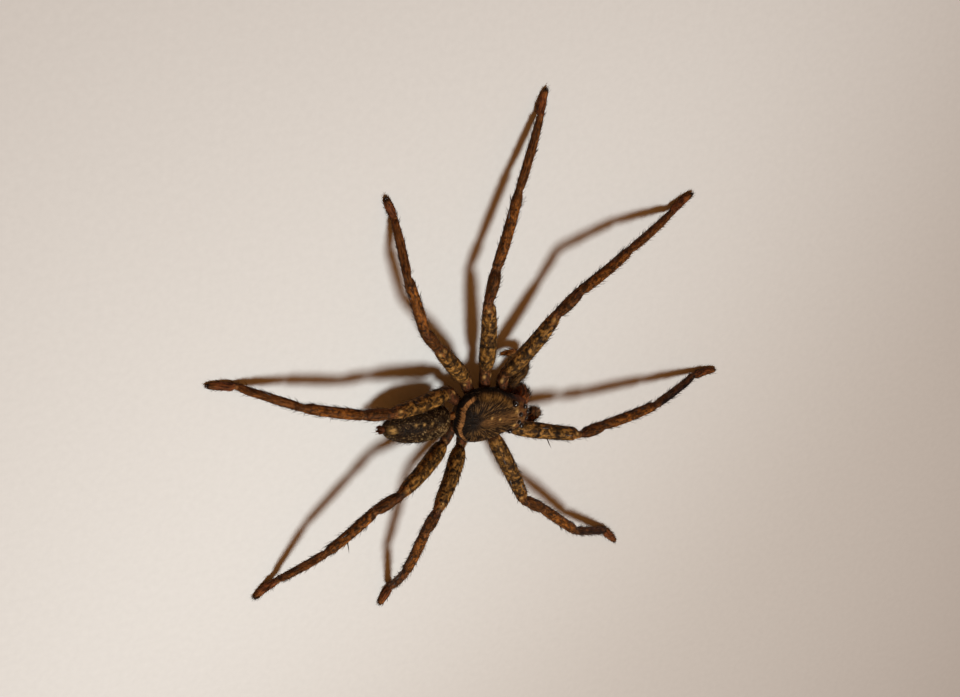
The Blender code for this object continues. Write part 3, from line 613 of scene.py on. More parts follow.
jaws = {
    "path": (
        (7.6, 1.2, 6.0, 0.95), (8.5, 1.32, 5.7, 1.1), (9.25, 1.5, 5.0, 1.18), (9.6, 1.7, 4.1, 1.2),
        (9.7, 1.82, 3.2, 1.16), (9.55, 1.86, 2.35, 0.98), (9.35, 1.8, 1.85, 0.62),
    ),
    "fang": ((9.35, 1.8, 2.2, 0.32), (8.9, 1.5, 1.55, 0.27), (8.35, 1.0, 1.3, 0.17), (8.05, 0.68, 1.4, 0.03)),
    "spread": {"left": 1.0, "right": 0.75},  # the right jaw is held closer to the middle
    "stripes": ((0.35, 0.13), (0.95, 0.14), (1.6, 0.2)),     # angle from the front, and how wide
    "sides": 44, "step": 0.16, "fangSides": 20, "fangStep": 0.08,
}


def jawTone(share, turned):
    tone = np.broadcast_to(np.array(tones["jaw"]), share.shape + (3,)).copy()
    stripes = sum(bump(np.abs(turned), *stripe) for stripe in jaws["stripes"])
    tone = mixTone(tone, tones["black"], stripes * 0.8 * smoothStep(0.0, 0.3, share))
    return mixTone(tone, tones["dark"], smoothStep(0.75, 0.95, share) * 0.8)


palps = {
    "paths": {
        "palp_left": (
            (7.3, 2.3, 4.0, 0.78), (8.4, 3.75, 4.1, 0.82), (9.15, 4.7, 4.2, 0.88), (9.6, 5.5, 3.95, 0.74),
            (9.55, 6.3, 3.3, 0.8), (8.95, 7.0, 2.7, 0.7), (8.1, 7.35, 2.15, 0.58), (7.1, 7.25, 1.65, 0.46),
            (6.4, 6.95, 1.35, 0.28),
        ),
        "palp_right": (
            (7.3, -2.7, 3.6, 0.74), (8.5, -4.1, 3.5, 0.76), (10.2, -4.8, 3.8, 0.76), (11.9, -4.1, 4.7, 0.68),
            (12.75, -3.3, 4.75, 0.82), (13.1, -3.6, 3.6, 0.8), (12.8, -4.6, 2.5, 0.7),
            (11.9, -5.7, 1.6, 0.54), (10.9, -6.6, 1.15, 0.3),
        ),
    },
    "roots": {"palp_left": (5.9, 1.2, 4.9, 0.74), "palp_right": (5.9, -1.5, 4.7, 0.72)},
    "tones": {
        # the left palp's end is painted light: its orange is raised to the bright tip tone
        "palp_left": (
            (0.0, "hip"), (0.35, "olive"), (0.55, "olive"), (0.66, "orange"), (0.76, "tip"), (1.0, "tip"),
        ),
        "palp_right": ((0.0, "hip"), (0.4, "brown"), (0.66, "brown"), (0.8, "shin"), (1.0, "toe")),
    },
    "sides": 26, "step": 0.18,
}


def palpTone(stops):
    def made(share, turned):
        tone = np.stack([np.interp(share, [s for s, _ in stops], [tones[word][i] for _, word in stops])
                         for i in range(3)], axis=-1)
        stripes = bump(np.abs(turned), 0.5, 0.14) + bump(np.abs(turned), 1.3, 0.18)
        return mixTone(tone, tones["dark"], stripes * 0.6 * bump(share, 0.55, 0.2))
    return made


def plainTone(word):
    return lambda share, turned: np.broadcast_to(np.array(tones[word]), share.shape + (3,)).copy()


stalk = {"radius": 0.7, "height": 5.4, "reach": 1.2, "sides": 28, "step": 0.2}
spinnerets = {
    "hub": ((0.6, 0.0, 0.58), (0.1, 0.0, 0.58), (-0.4, -0.05, 0.46)),
    "fingers": ((-0.2, 1.0), (0.26, 0.85)), "radius": 0.32, "length": 0.85, "spacing": 0.3,
    "root": -0.2, "splay": 0.05, "sides": 18,
    "hubStep": 0.1, "step": 0.09,
    "taper": ((0.0, 0.95), (0.25, 1.0), (0.55, 0.92), (0.6, 0.74), (0.85, 0.66), (1.0, 0.3)),
}


def buildParts():
    # Every closed form that becomes the skin, with its corners on the legs' lines
    parts = [("shell", *buildShell()), ("belly", *buildBelly())]
    front = onBody((shell["stations"][0][0] + stalk["reach"], 0.0, stalk["height"]))
    rear = np.array((belly["stations"][0][0] - stalk["reach"], belly["side"], stalk["height"]))
    waist = [(*(front + (rear - front) * share), stalk["radius"] * size)
             for share, size in ((0, 1.0), (0.3, 0.96), (0.5, 0.9), (0.7, 0.96), (1, 1.0))]
    parts.append(("waist", *buildTube(
        waist, stalk["step"], stalk["sides"], up, plainTone("orange"), speckle=0.4, hair=0.2)))
    ahead = onBody((1, 0, 0)) - onBody((0, 0, 0))
    for word, side in (("left", 1), ("right", -1)):
        path = stationsAt(jaws["path"], 12)
        path[:, :3] = onBody(path[:, :3] * (1, side * jaws["spread"][word], 1))
        parts.append(("jaw", *buildTube(
            path, jaws["step"], jaws["sides"], ahead, jawTone, speckle=0.35, hair=0.8, hairLength=0.5,
            kind=20)))
    for number, (name, points) in enumerate(palps["paths"].items()):
        path = np.array((palps["roots"][name], *points))
        parts.append(("palp", *buildTube(
            path, palps["step"], palps["sides"], up, palpTone(palps["tones"][name]), speckle=0.6, hair=1.1,
            hairLength=0.45, kind=21 + number)))
    x, _, top, bottom = belly["stations"][-1]
    middle = np.array((x, belly["side"], (top + bottom) * 0.5))
    hub = [(*(middle + (along, 0, lift)), radius) for along, lift, radius in spinnerets["hub"]]
    parts.append(("hub", *buildTube(
        hub, spinnerets["hubStep"], spinnerets["sides"], up, plainTone("hip"), speckle=0.4)))
    for side in (-1, 1):
        for lift, stretch in spinnerets["fingers"]:
            root = middle + (spinnerets["root"], side * spinnerets["spacing"], lift)
            way = np.array((-spinnerets["length"] * stretch, side * spinnerets["splay"], lift * 0.5))
            path = [
                (*(root + way * share), spinnerets["radius"] * size) for share, size in spinnerets["taper"]
            ]
            parts.append(("finger", *buildTube(
                path, spinnerets["step"], spinnerets["sides"], up, plainTone("hip"), speckle=0.3)))
    joints = {}
    for index, name in enumerate(legs["poses"]):
        points, faces, joints[name] = buildLeg(name, index)
        parts.append((name, points, faces))
    return parts, joints


def largestSurface(mesh):
    # Keep the largest closed surface, and say how many there were
    work = bmesh.new()
    work.from_mesh(mesh)
    waiting, groups = set(work.verts), []
    while waiting:
        group, edge = set(), [waiting.pop()]
        while edge:
            vert = edge.pop()
            group.add(vert)
            for link in vert.link_edges:
                other = link.other_vert(vert)
                if other in waiting:
                    waiting.discard(other)
                    edge.append(other)
        groups.append(group)
    groups.sort(key=len)
    spare = [vert for group in groups[:-1] for vert in group]
    bmesh.ops.delete(work, geom=spare, context="VERTS")
    work.to_mesh(mesh)
    work.free()
    return len(groups)


def uniteSkin(parts):
    # One closed surface from every part
    joining = bpy.data.collections.new("joining")
    bpy.context.scene.collection.children.link(joining)
    pieces = []
    for name, points, faces in parts:
        piece = addPiece("part_" + name, points, faces, None if name == "shell" else joining)
        work = bmesh.new()
        work.from_mesh(piece.data)
        bmesh.ops.recalc_face_normals(work, faces=work.faces)
        work.to_mesh(piece.data)
        work.free()
        pieces.append(piece)
    base = pieces[0]
    modifier = base.modifiers.new("union", "BOOLEAN")
    modifier.operation, modifier.solver = "UNION", "MANIFOLD"
    modifier.operand_type, modifier.collection = "COLLECTION", joining
    graph = bpy.context.evaluated_depsgraph_get()
    mesh = bpy.data.meshes.new_from_object(base.evaluated_get(graph))
    for piece in pieces:
        old = piece.data
        bpy.data.objects.remove(piece)
        bpy.data.meshes.remove(old)
    bpy.data.collections.remove(joining)
    print("skin joined, surfaces:", largestSurface(mesh), "faces:", len(mesh.polygons))
    mesh.name = "skin"
    skin = bpy.data.objects.new("skin", mesh)
    bpy.context.scene.collection.objects.link(skin)
    return skin


def readPoints(mesh, what="co"):
    values = np.empty(len(mesh.vertices) * 3, np.float32)
    mesh.vertices.foreach_get(what, values)
    return values.reshape(-1, 3).astype(float)


def setAttributes(mesh, values):
    for name in ("place", "flow"):
        mesh.attributes.new(name, "FLOAT_VECTOR", "POINT").data.foreach_set(
            "vector", values[name].astype(np.float32).ravel())
    for name in ("tone", "marks"):
        rows = values[name]
        if rows.shape[1] == 3:
            rows = np.column_stack((rows, np.ones(len(rows))))
        mesh.attributes.new(name, "FLOAT_COLOR", "POINT").data.foreach_set(
            "color", rows.astype(np.float32).ravel())
    for name in ("streaks", "shade"):
        if name in values:
            mesh.attributes.new(name, "FLOAT", "POINT").data.foreach_set(
                "value", values[name].astype(np.float32))


def readSkin(skin):
    # The skin's points with all that its parts carry, found again by the nearest point
    mesh = skin.data
    points = readPoints(mesh) / mm + centre
    carried = {key: np.concatenate([source[key] for source in sources]) for key in sources[0]}
    tree = KDTree(len(carried["points"]))
    for index, place in enumerate(carried["points"]):
        tree.insert(place, index)
    tree.balance()
    nearest = np.array([tree.find(place)[1] for place in points])
    values = {key: rows[nearest] for key, rows in carried.items() if key != "points"}
    values["points"] = points
    mesh.calc_loop_triangles()
    corners = np.empty(len(mesh.loop_triangles) * 3, np.int32)
    mesh.loop_triangles.foreach_get("vertices", corners)
    values["triangles"] = corners.reshape(-1, 3)
    values["normals"] = readPoints(mesh, "normal")
    return values


coats = {
    # hairs for each square millimetre, length, radius, lift in degrees, spread of the way they lie
    "short": {
        "density": 28.0, "length": 1.05, "vary": (0.6, 1.2), "radius": 0.018, "lift": (6, 22), "yaw": 0.35,
        "steps": 2, "sink": 0.04, "curl": 0.5,
    },
    "bristle": {
        "density": 3.0, "length": 2.5, "vary": (0.4, 1.2), "radius": 0.035, "lift": (28, 68), "yaw": 0.35,
        "steps": 3, "sink": 0.05, "curl": 0.75,
    },
    "lowest": 0.04, "seed": 5, "faceBristles": 4.5,      # times as many on the jaws and palps
    "patch": 0.003, "seam": 0.2,             # size of a hair on the map, and what counts as across its edge
}


def growHair(name, skin, chosen, style, draw, scale=1.0):
    # Hairs over the chosen triangles: each a thin closed spike that bends down along the body
    triangles = skin["triangles"][chosen]
    corners = skin["points"][triangles]
    one, two = corners[:, 1] - corners[:, 0], corners[:, 2] - corners[:, 0]
    areas = np.linalg.norm(np.cross(one, two), axis=1) * 0.5
    weight = areas * skin["hair"][triangles].mean(axis=1)
    count = int(weight.sum() * style["density"] * scale)
    picked = draw.choice(len(triangles), size=count, p=weight / weight.sum())
    a, b = draw.random(count), draw.random(count)
    over = a + b > 1
    a[over], b[over] = 1 - a[over], 1 - b[over]
    shares = np.stack((1 - a - b, a, b), axis=1)
    owners = triangles[picked]

    def at(key):
        values = skin[key][owners]
        return np.einsum("ij,ij...->i...", shares, values)

    root, normal = at("points"), unit(at("normals"))
    lie = at("lie") + 1e-6
    lie = unit(lie - normal * (lie * normal).sum(axis=1, keepdims=True))
    across = np.cross(normal, lie)
    yaw = draw.normal(0, style["yaw"], count)[:, None]
    lie = lie * np.cos(yaw) + across * np.sin(yaw)
    across = np.cross(normal, lie)
    length = at("hairLength") * style["length"] * draw.uniform(*style["vary"], count)
    lift = np.radians(draw.uniform(*style["lift"], count))
    steps = style["steps"]
    place = root - normal * style["sink"]
    rings, along = [], []
    for step in range(steps + 1):
        share = step / steps
        angle = (lift * (1 - style["curl"] * share))[:, None]
        way = lie * np.cos(angle) + normal * np.sin(angle)
        along.append(way)
        if step:
            place = place + way * (length / steps)[:, None]
        rings.append(place)
    points = []
    for step in range(steps):
        radius = style["radius"] * (1 - 0.75 * step / steps)
        outward = np.cross(along[step], across)
        for turn in (0, 1, 2):
            angle = 2 * math.pi * turn / 3
            points.append(rings[step] + (across * math.cos(angle) + outward * math.sin(angle)) * radius)
    points.append(rings[-1])
    points = np.stack(points, axis=1)
    points[..., 2] = np.maximum(points[..., 2], coats["lowest"])
    each = 3 * steps + 1
    pattern = [(0, 2, 1)]
    for step in range(steps - 1):
        low = 3 * step
        for turn in range(3):
            k = (turn + 1) % 3
            pattern += [(low + turn, low + k, low + 3 + turn), (low + k, low + 3 + k, low + 3 + turn)]
    low = 3 * (steps - 1)
    pattern += [(low + turn, low + (turn + 1) % 3, each - 1) for turn in range(3)]
    pattern = np.array(pattern)
    faces = (pattern[None] + (np.arange(count) * each)[:, None, None]).reshape(-1, 3)

    mesh = bpy.data.meshes.new(name)
    mesh.vertices.add(count * each)
    mesh.vertices.foreach_set("co", ((points.reshape(-1, 3) - centre) * mm).astype(np.float32).ravel())
    mesh.loops.add(len(faces) * 3)
    mesh.loops.foreach_set("vertex_index", faces.astype(np.int32).ravel())
    mesh.polygons.add(len(faces))
    mesh.polygons.foreach_set("loop_start", np.arange(0, len(faces) * 3, 3, dtype=np.int32))
    mesh.update(calc_edges=True)
    wrap = skin["wrap"][owners]
    spread = wrap.max(axis=1) - wrap.min(axis=1)
    torn = (spread > coats["seam"]).any(axis=1)[:, None]
    rooted = np.where(torn, wrap[:, 0], np.einsum("ij,ijk->ik", shares, wrap))
    patch = coats["patch"]
    local = np.array([((i % 3) * 0.5, (i // 3) / steps) for i in range(each)]) * patch
    local[-1] = (patch * 0.5, patch)
    corner = (rooted[:, None] + local[None]).reshape(-1, 2)[faces.ravel()]
    mesh.uv_layers.new(name="OFBake").data.foreach_set("uv", corner.astype(np.float32).ravel())
    values = {key: np.repeat(at(key), each, axis=0) for key in ("place", "flow", "tone", "marks", "streaks")}
    values["shade"] = np.repeat(draw.random(count), each)
    setAttributes(mesh, values)
    mesh.shade_smooth()
    piece = bpy.data.objects.new(name, mesh)
    bpy.context.scene.collection.objects.link(piece)
    print(name, "hairs:", count, "faces:", len(faces))
    return piece


spines = {
    "places": {
        "femur": ((0.3, 20), (0.42, -50), (0.6, 55), (0.74, -15)),
        "tibia": ((0.2, 115), (0.3, -110), (0.5, 60), (0.62, -70), (0.77, 115), (0.79, -115)),
        "metatarsus": ((0.14, 85), (0.2, -90), (0.46, 65)),
    },
    "length": {"femur": 1.5, "tibia": 1.75, "metatarsus": 1.6}, "vary": (0.85, 1.1),
    "base": 0.1, "tip": 0.008, "sink": 0.25, "lean": 73, "turnVary": 8, "leanVary": 5, "floor": 0.5,
    "standing": {"leg_1_right": ("femur", 0.55, 45, 17), "leg_4_right": ("tibia", 0.64, -45, 25)},
    "standingLength": 1.9, "sides": 8, "steps": 7, "bend": 0.14, "seed": 11,
}


def growSpines(joints):
    # The same draws as the solids', so that each spine stands where its solid does
    draw = random.Random(spines["seed"])
    points, faces = [], []

    def addSpine(kind, near, far, share, angle, lean, length):
        # Its root lies on the arched, tapering segment, a little inside
        run = far - near
        side = unit(np.cross(run, up))
        top = np.cross(side, unit(run))
        turn, lean = math.radians(angle), math.radians(lean)
        outward = top * math.cos(turn) + side * math.sin(turn)
        way = outward * math.cos(lean) + unit(run) * math.sin(lean)
        lift = legs["arch"][kind] * np.linalg.norm(run) * math.sin(math.pi * share)
        outline = legs["outlines"][kind]
        radius = legs["radii"][kind] * np.interp(share, [s for s, _ in outline], [r for _, r in outline])
        root = near + run * share + top * lift + outward * (radius - spines["sink"])
        if (root + way * length)[2] < spines["floor"]:
            return
        shares = np.linspace(0, 1, spines["steps"] + 1)[:, None]
        bend = (unit(run) - way * 0.4) * spines["bend"] * length * shares ** 2
        rows = np.hstack((root + way * length * shares + bend, shares))
        taper = spines["base"] * (1 - shares ** 1.5) + spines["tip"]
        grid, _, _ = tubeGrid(rows, np.repeat(taper, spines["sides"], axis=1), spines["sides"], side)
        first = sum(len(block) for block in points)
        made = gridFaces(len(rows), spines["sides"])
        points.append(withEnds(grid))
        faces.extend(tuple(corner + first for corner in face) for face in made)

    for name, bones in joints.items():
        for kind in ("femur", "tibia", "metatarsus"):
            index = legs["kinds"].index(kind)
            near, far = bones[index], bones[index + 1]
            for share, angle in spines["places"][kind]:
                turn = angle + draw.uniform(-spines["turnVary"], spines["turnVary"])
                lean = spines["lean"] + draw.uniform(-spines["leanVary"], spines["leanVary"])
                length = spines["length"][kind] * draw.uniform(*spines["vary"])
                addSpine(kind, near, far, share, turn, lean, length)
            if spines["standing"].get(name, ("none",))[0] == kind:
                share, angle, lean = spines["standing"][name][1:]
                addSpine(kind, near, far, share, angle, lean, spines["standingLength"])
    return addPiece("spines", np.concatenate(points) - centre, faces)


claws = {
    "length": 0.5, "radius": 0.06, "tip": 0.006, "inset": 0.15, "apart": 0.11, "rise": 0.12, "hook": 0.22,
    "lift": 0.1, "splay": 0.05, "sides": 8, "steps": 8,
}


def growClaws(joints):
    points, faces = [], []
    for bones in joints.values():
        way = unit((bones[-1] - bones[-2]) * (1, 1, 0))
        side = np.cross(way, up)
        for sign in (-1, 1):
            root = bones[-1] - way * claws["inset"] + side * sign * claws["apart"] + up * claws["rise"]
            shares = np.linspace(0, 1, claws["steps"] + 1)[:, None]
            path = root + way * claws["length"] * np.sin(shares * 1.5) * 0.8
            path = path + up * (claws["lift"] * shares - claws["hook"] * 1.6 * shares ** 2)
            path = path + side * sign * claws["splay"] * shares
            rows = np.hstack((path, shares))
            taper = claws["radius"] * (1 - shares) + claws["tip"]
            grid, _, _ = tubeGrid(rows, np.repeat(taper, claws["sides"], axis=1), claws["sides"], side)
            grid[..., 2] = np.maximum(grid[..., 2], coats["lowest"])
            first = sum(len(block) for block in points)
            points.append(withEnds(grid))
            made = gridFaces(len(rows), claws["sides"])
            faces.extend(tuple(corner + first for corner in face) for face in made)
    return addPiece("claws", np.concatenate(points) - centre, faces)


eyes = {
    # name: x, half spacing, radius, on the body's own lines
    "places": {
        "median_front": (8.35, 0.62, 0.32), "side_front": (7.6, 1.65, 0.40),
        "median_rear": (6.6, 0.68, 0.36), "side_rear": (5.5, 2.35, 0.47),
    },
    "lift": 0.12, "slopeStep": 0.05, "segments": 40, "rings": 24,
}


def shellHeight(x, y):
    # Height of the back as the solids have it
    stations = np.array(shell["stations"])
    halfWidth, top, edge, power = (
        np.interp(x, stations[:, 0], stations[:, column]) for column in (1, 2, 3, 6)
    )
    return edge + (top - edge) * max(1 - (y / halfWidth) ** 2, 0.0) ** power


def eyePlaces():
    places = {}
    for name, (x, apart, radius) in eyes["places"].items():
        for word, side in (("left", 1), ("right", -1)):
            y, step = side * apart, eyes["slopeStep"]
            height = shellHeight(x, y)
            along = (shellHeight(x + step, y) - height) / step
            sideways = (shellHeight(x, y + step) - height) / step
            outward = unit(np.array((-along, -sideways, 1.0)))
            middle = np.array((x, y, height)) + outward * eyes["lift"]
            places[f"eye_{name}_{word}"] = (onBody(middle), radius)
    return places


def growEyes(places):
    made = []
    for name, (middle, radius) in places.items():
        work = bmesh.new()
        bmesh.ops.create_uvsphere(
            work, u_segments=eyes["segments"], v_segments=eyes["rings"], radius=radius * mm)
        bmesh.ops.translate(work, vec=Vector((middle - centre) * mm), verts=work.verts)
        mesh = bpy.data.meshes.new(name)
        work.to_mesh(mesh)
        work.free()
        eye = bpy.data.objects.new("lens_" + name[4:], mesh)
        bpy.context.scene.collection.objects.link(eye)
        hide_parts(name)
        made.append(eye)
    return made


def growFangs():
    made = []
    for word, side in (("left", 1), ("right", -1)):
        path = np.array(jaws["fang"])
        path[:, :3] = onBody(path[:, :3] * (1, side * jaws["spread"][word], 1))
        rows, _ = curveThrough(path, jaws["fangStep"])
        sides = jaws["fangSides"]
        grid, _, _ = tubeGrid(rows, np.repeat(rows[:, 3:4], sides, axis=1), sides, up)
        made.append(addPiece("fang_" + word, withEnds(grid) - centre, gridFaces(len(rows), sides)))
    return made


def put(tree, kind, settings=None, **values):
    # A node with its settings and inputs; an input is a value, or a socket to link from
    node = tree.nodes.new(kind)
    for name, value in (settings or {}).items():
        setattr(node, name, value)
    for name, value in values.items():
        socket = node.inputs[int(name[1:])] if name[0] == "_" and name[1:].isdigit() else node.inputs[name]
        if isinstance(value, bpy.types.NodeSocket):
            tree.links.new(value, socket)
        else:
            socket.default_value = value
    return node


def attributeOf(tree, name, out="Vector"):
    return put(tree, "ShaderNodeAttribute", {"attribute_name": name}).outputs[out]


def noiseOf(tree, vector, scale, detail=4.0, rough=0.55):
    node = put(tree, "ShaderNodeTexNoise", Vector=vector, Scale=scale, Detail=detail, Roughness=rough)
    return node.outputs["Fac"]


def rangeOf(tree, value, low, high, least=0.0, most=1.0):
    node = put(tree, "ShaderNodeMapRange", {"interpolation_type": "SMOOTHSTEP"}, Value=value)
    for name, number in (("From Min", low), ("From Max", high), ("To Min", least), ("To Max", most)):
        node.inputs[name].default_value = number
    return node.outputs["Result"]


def times(tree, a, b):
    return put(tree, "ShaderNodeMath", {"operation": "MULTIPLY"}, _0=a, _1=b).outputs[0]


def plus(tree, a, b):
    return put(tree, "ShaderNodeMath", {"operation": "ADD"}, _0=a, _1=b).outputs[0]


def mixOf(tree, share, a, b, blend="MIX"):
    node = tree.nodes.new("ShaderNodeMix")
    node.data_type, node.blend_type = "RGBA", blend
    for index, value in ((0, share), (6, a), (7, b)):
        if isinstance(value, bpy.types.NodeSocket):
            tree.links.new(value, node.inputs[index])
        else:
            node.inputs[index].default_value = value if index == 0 else (*value, 1.0)
    return node.outputs[2]


markings = {
    # scale, detail and roughness of each noise
    "streakNoise": (2.3, 5.0, 0.6), "blotchNoise": (0.85, 4.0, 0.6), "speckNoise": (1.5, 3.0, 0.55),
    "fleckNoise": (3.2, 5.0, 0.7), "grainNoise": (9.0, 2.0, 0.6), "dotScale": 1.9,
    # what the dark and the light ends of the streaks and blotches multiply a tone by
    "streakTint": ((0.32, 0.29, 0.26), (1.6, 1.5, 1.35)), "blotchTint": ((0.62, 0.6, 0.6), (1.25, 1.25, 1.2)),
    "mottle": (0.021, 0.011, 0.005), "mottleStrength": 0.88,
    "dark": (0.006, 0.004, 0.003), "dotStrength": 0.92,
    "fleck": (0.299, 0.186, 0.077), "fleckStrength": 0.8, "spot": (0.50, 0.27, 0.08),
    "streak": (0.133, 0.066, 0.021), "rough": (0.5, 0.75),
}


def buildMarkings():
    # Colour, height and roughness of the cuticle and its short hair, from what the skin carries
    group = bpy.data.node_groups.new("spiderMarkings", "ShaderNodeTree")
    kinds = {"Color": "NodeSocketColor", "Height": "NodeSocketFloat", "Rough": "NodeSocketFloat"}
    for name, kind in kinds.items():
        group.interface.new_socket(name=name, in_out="OUTPUT", socket_type=kind)
    out = group.nodes.new("NodeGroupOutput")
    place, flow = attributeOf(group, "place"), attributeOf(group, "flow")
    colour = attributeOf(group, "tone", "Color")
    marks = put(group, "ShaderNodeSeparateColor", Color=attributeOf(group, "marks", "Color"))
    band, spot, speckle = (marks.outputs[i] for i in range(3))
    pale = attributeOf(group, "marks", "Alpha")
    streak = noiseOf(group, flow, *markings["streakNoise"])
    blotch, speck, grain, ragged = (
        noiseOf(group, place, *markings[name + "Noise"]) for name in ("blotch", "speck", "grain", "fleck")
    )

    # slow changes along the streaks and in blotches
    for value, low, high, tint in (
        (streak, 0.34, 0.66, markings["streakTint"]), (blotch, 0.3, 0.7, markings["blotchTint"]),
    ):
        colour = mixOf(group, 1.0, colour, mixOf(group, rangeOf(group, value, low, high), *tint), "MULTIPLY")

    # dark mottling, then round black dots
    reach = plus(group, plus(group, times(group, speck, 0.65), times(group, streak, 0.35)),
                 times(group, speckle, 0.1))
    specks = times(group, rangeOf(group, reach, 0.56, 0.65), rangeOf(group, speckle, 0.0, 0.6))
    colour = mixOf(group, times(group, specks, markings["mottleStrength"]), colour, markings["mottle"])
    cell = put(group, "ShaderNodeTexVoronoi", Vector=place, Scale=markings["dotScale"])
    lucky = put(group, "ShaderNodeSeparateColor", Color=cell.outputs["Color"]).outputs[0]
    dots = times(group, rangeOf(group, cell.outputs["Distance"], 0.34, 0.22), rangeOf(group, lucky, 0.4, 0.5))
    dots = times(group, dots, rangeOf(group, speckle, 0.2, 0.9))
    colour = mixOf(group, times(group, dots, markings["dotStrength"]), colour, markings["dark"])

    # the streaks of the carapace, the bands of the legs, the pale flecks and the spots; two spots on the back
    # are painted highlights, and the flecks are denser on the abdomen's right flank as painted light
    streaks = times(group, rangeOf(group, streak, 0.5, 0.6), attributeOf(group, "streaks", "Fac"))
    colour = mixOf(group, streaks, colour, markings["streak"])
    bands = times(group, band, rangeOf(group, plus(group, blotch, speck), 0.82, 1.05))
    colour = mixOf(group, bands, colour, markings["dark"])
    ragged = plus(group, ragged, times(group, pale, 0.13))
    flecks = times(group, rangeOf(group, ragged, 0.59, 0.66), rangeOf(group, pale, 0.0, 0.1))
    flecks = times(group, flecks, rangeOf(group, blotch, 0.4, 0.56))
    colour = mixOf(group, times(group, flecks, markings["fleckStrength"]), colour, markings["fleck"])
    # spots: the legs' and abdomen's own pale spots, and two painted highlights on the back
    spots = times(group, spot, rangeOf(group, speck, 0.25, 0.5))
    colour = mixOf(group, spots, colour, markings["spot"])
    height = plus(group, times(group, streak, 0.7), times(group, grain, 0.3))
    group.links.new(colour, out.inputs["Color"])
    group.links.new(height, out.inputs["Height"])
    group.links.new(rangeOf(group, grain, 0.3, 0.7, *markings["rough"]), out.inputs["Rough"])
    return group


def newMaterial(name, specular=0.5):
    material = bpy.data.materials.new(name)
    material.use_nodes = True
    shader = material.node_tree.nodes["Principled BSDF"]
    shader.inputs["Specular IOR Level"].default_value = specular
    return material, material.node_tree, shader


hairLooks = {
    # darkest and lightest hair, as what they multiply the skin's colour by
    "tint": ((0.55, 0.5, 0.45), (1.55, 1.5, 1.4)), "rough": (0.4, 0.62), "specular": 0.03,
    "bristle": ((0.010, 0.006, 0.004), (0.10, 0.05, 0.02)), "bristleRough": (0.32, 0.5),
    "bristleSpecular": 0.15,
}
skinLooks = {"specular": 0.05, "bump": 0.5, "bumpHeight": 0.00006}
hardLooks = {
    # scale and detail of the grain, its two colours, least and most roughness, clear coat
    "spine": ((2600.0, 3.0), (0.008, 0.005, 0.004), (0.05, 0.024, 0.012), (0.24, 0.42), 0.0),
    "fang": ((1500.0, 3.0), (0.01, 0.005, 0.004), (0.06, 0.015, 0.008), (0.14, 0.3), 0.5),
    "eye": ((900.0, 2.0), (0.003, 0.003, 0.003), (0.009, 0.008, 0.010), (0.04, 0.1), 0.3),
}


def buildMaterials():
    group = buildMarkings()
    made = {}

    made["cuticle"], tree, shader = newMaterial("cuticle", skinLooks["specular"])
    marks = put(tree, "ShaderNodeGroup", {"node_tree": group})
    tree.links.new(marks.outputs["Color"], shader.inputs["Base Color"])
    tree.links.new(marks.outputs["Rough"], shader.inputs["Roughness"])
    bumped = put(tree, "ShaderNodeBump", Height=marks.outputs["Height"], Strength=skinLooks["bump"],
                 Distance=skinLooks["bumpHeight"])
    tree.links.new(bumped.outputs["Normal"], shader.inputs["Normal"])

    made["shortHair"], tree, shader = newMaterial("shortHair", hairLooks["specular"])
    marks = put(tree, "ShaderNodeGroup", {"node_tree": group})
    shade = attributeOf(tree, "shade", "Fac")
    colour = mixOf(tree, 1.0, marks.outputs["Color"], mixOf(tree, shade, *hairLooks["tint"]), "MULTIPLY")
    tree.links.new(colour, shader.inputs["Base Color"])
    tree.links.new(rangeOf(tree, shade, 0.0, 1.0, *hairLooks["rough"]), shader.inputs["Roughness"])

    made["bristle"], tree, shader = newMaterial("bristle", hairLooks["bristleSpecular"])
    shade = attributeOf(tree, "shade", "Fac")
    colour = mixOf(tree, rangeOf(tree, shade, 0.55, 0.95), *hairLooks["bristle"])
    tree.links.new(colour, shader.inputs["Base Color"])
    tree.links.new(rangeOf(tree, shade, 0.0, 1.0, *hairLooks["bristleRough"]), shader.inputs["Roughness"])

    for name, (grainLook, low, high, rough, coat) in hardLooks.items():
        made[name], tree, shader = newMaterial(name)
        grain = noiseOf(tree, put(tree, "ShaderNodeTexCoord").outputs["Object"], *grainLook)
        tree.links.new(mixOf(tree, grain, low, high), shader.inputs["Base Color"])
        tree.links.new(rangeOf(tree, grain, 0.3, 0.7, *rough), shader.inputs["Roughness"])
        shader.inputs["Coat Weight"].default_value = coat
    return made


studio = {
    "tilt": 44.0, "azimuth": 137.31, "distance": 400.0, "lens": 93.75, "sensor": 36.0,
    "roll": 138.0,                           # the photograph is rolled about its view by this much
    "look": (3.195, 7.852, 0.0),             # on the legs' lines
    "lightFrom": (-29.0, -77.0, 306.0),      # on the photograph's right, up and away from the floor
    "lightTurn": -0.69, "lightSize": 80.0, "lightPower": 1.132, "lightColour": (0.933, 0.996, 1.000),
    "skyColour": (1.000, 0.403, 0.107), "skyStrength": 0.238,
    "floorColour": (0.62, 0.6, 0.575), "floorVary": (0.95, 1.04), "floorGrain": (900.0, 3.0),
    "floorSize": 2.4,                        # metres
    "floorShade": (0.78, 0.74, 0.71), "shadeFrom": -0.03, "shadeTo": 0.14,     # painted shade: the floor darkens towards one side, over metres along +X and -Y
    "floorSpecular": 0.1, "floorRough": 0.9,
}


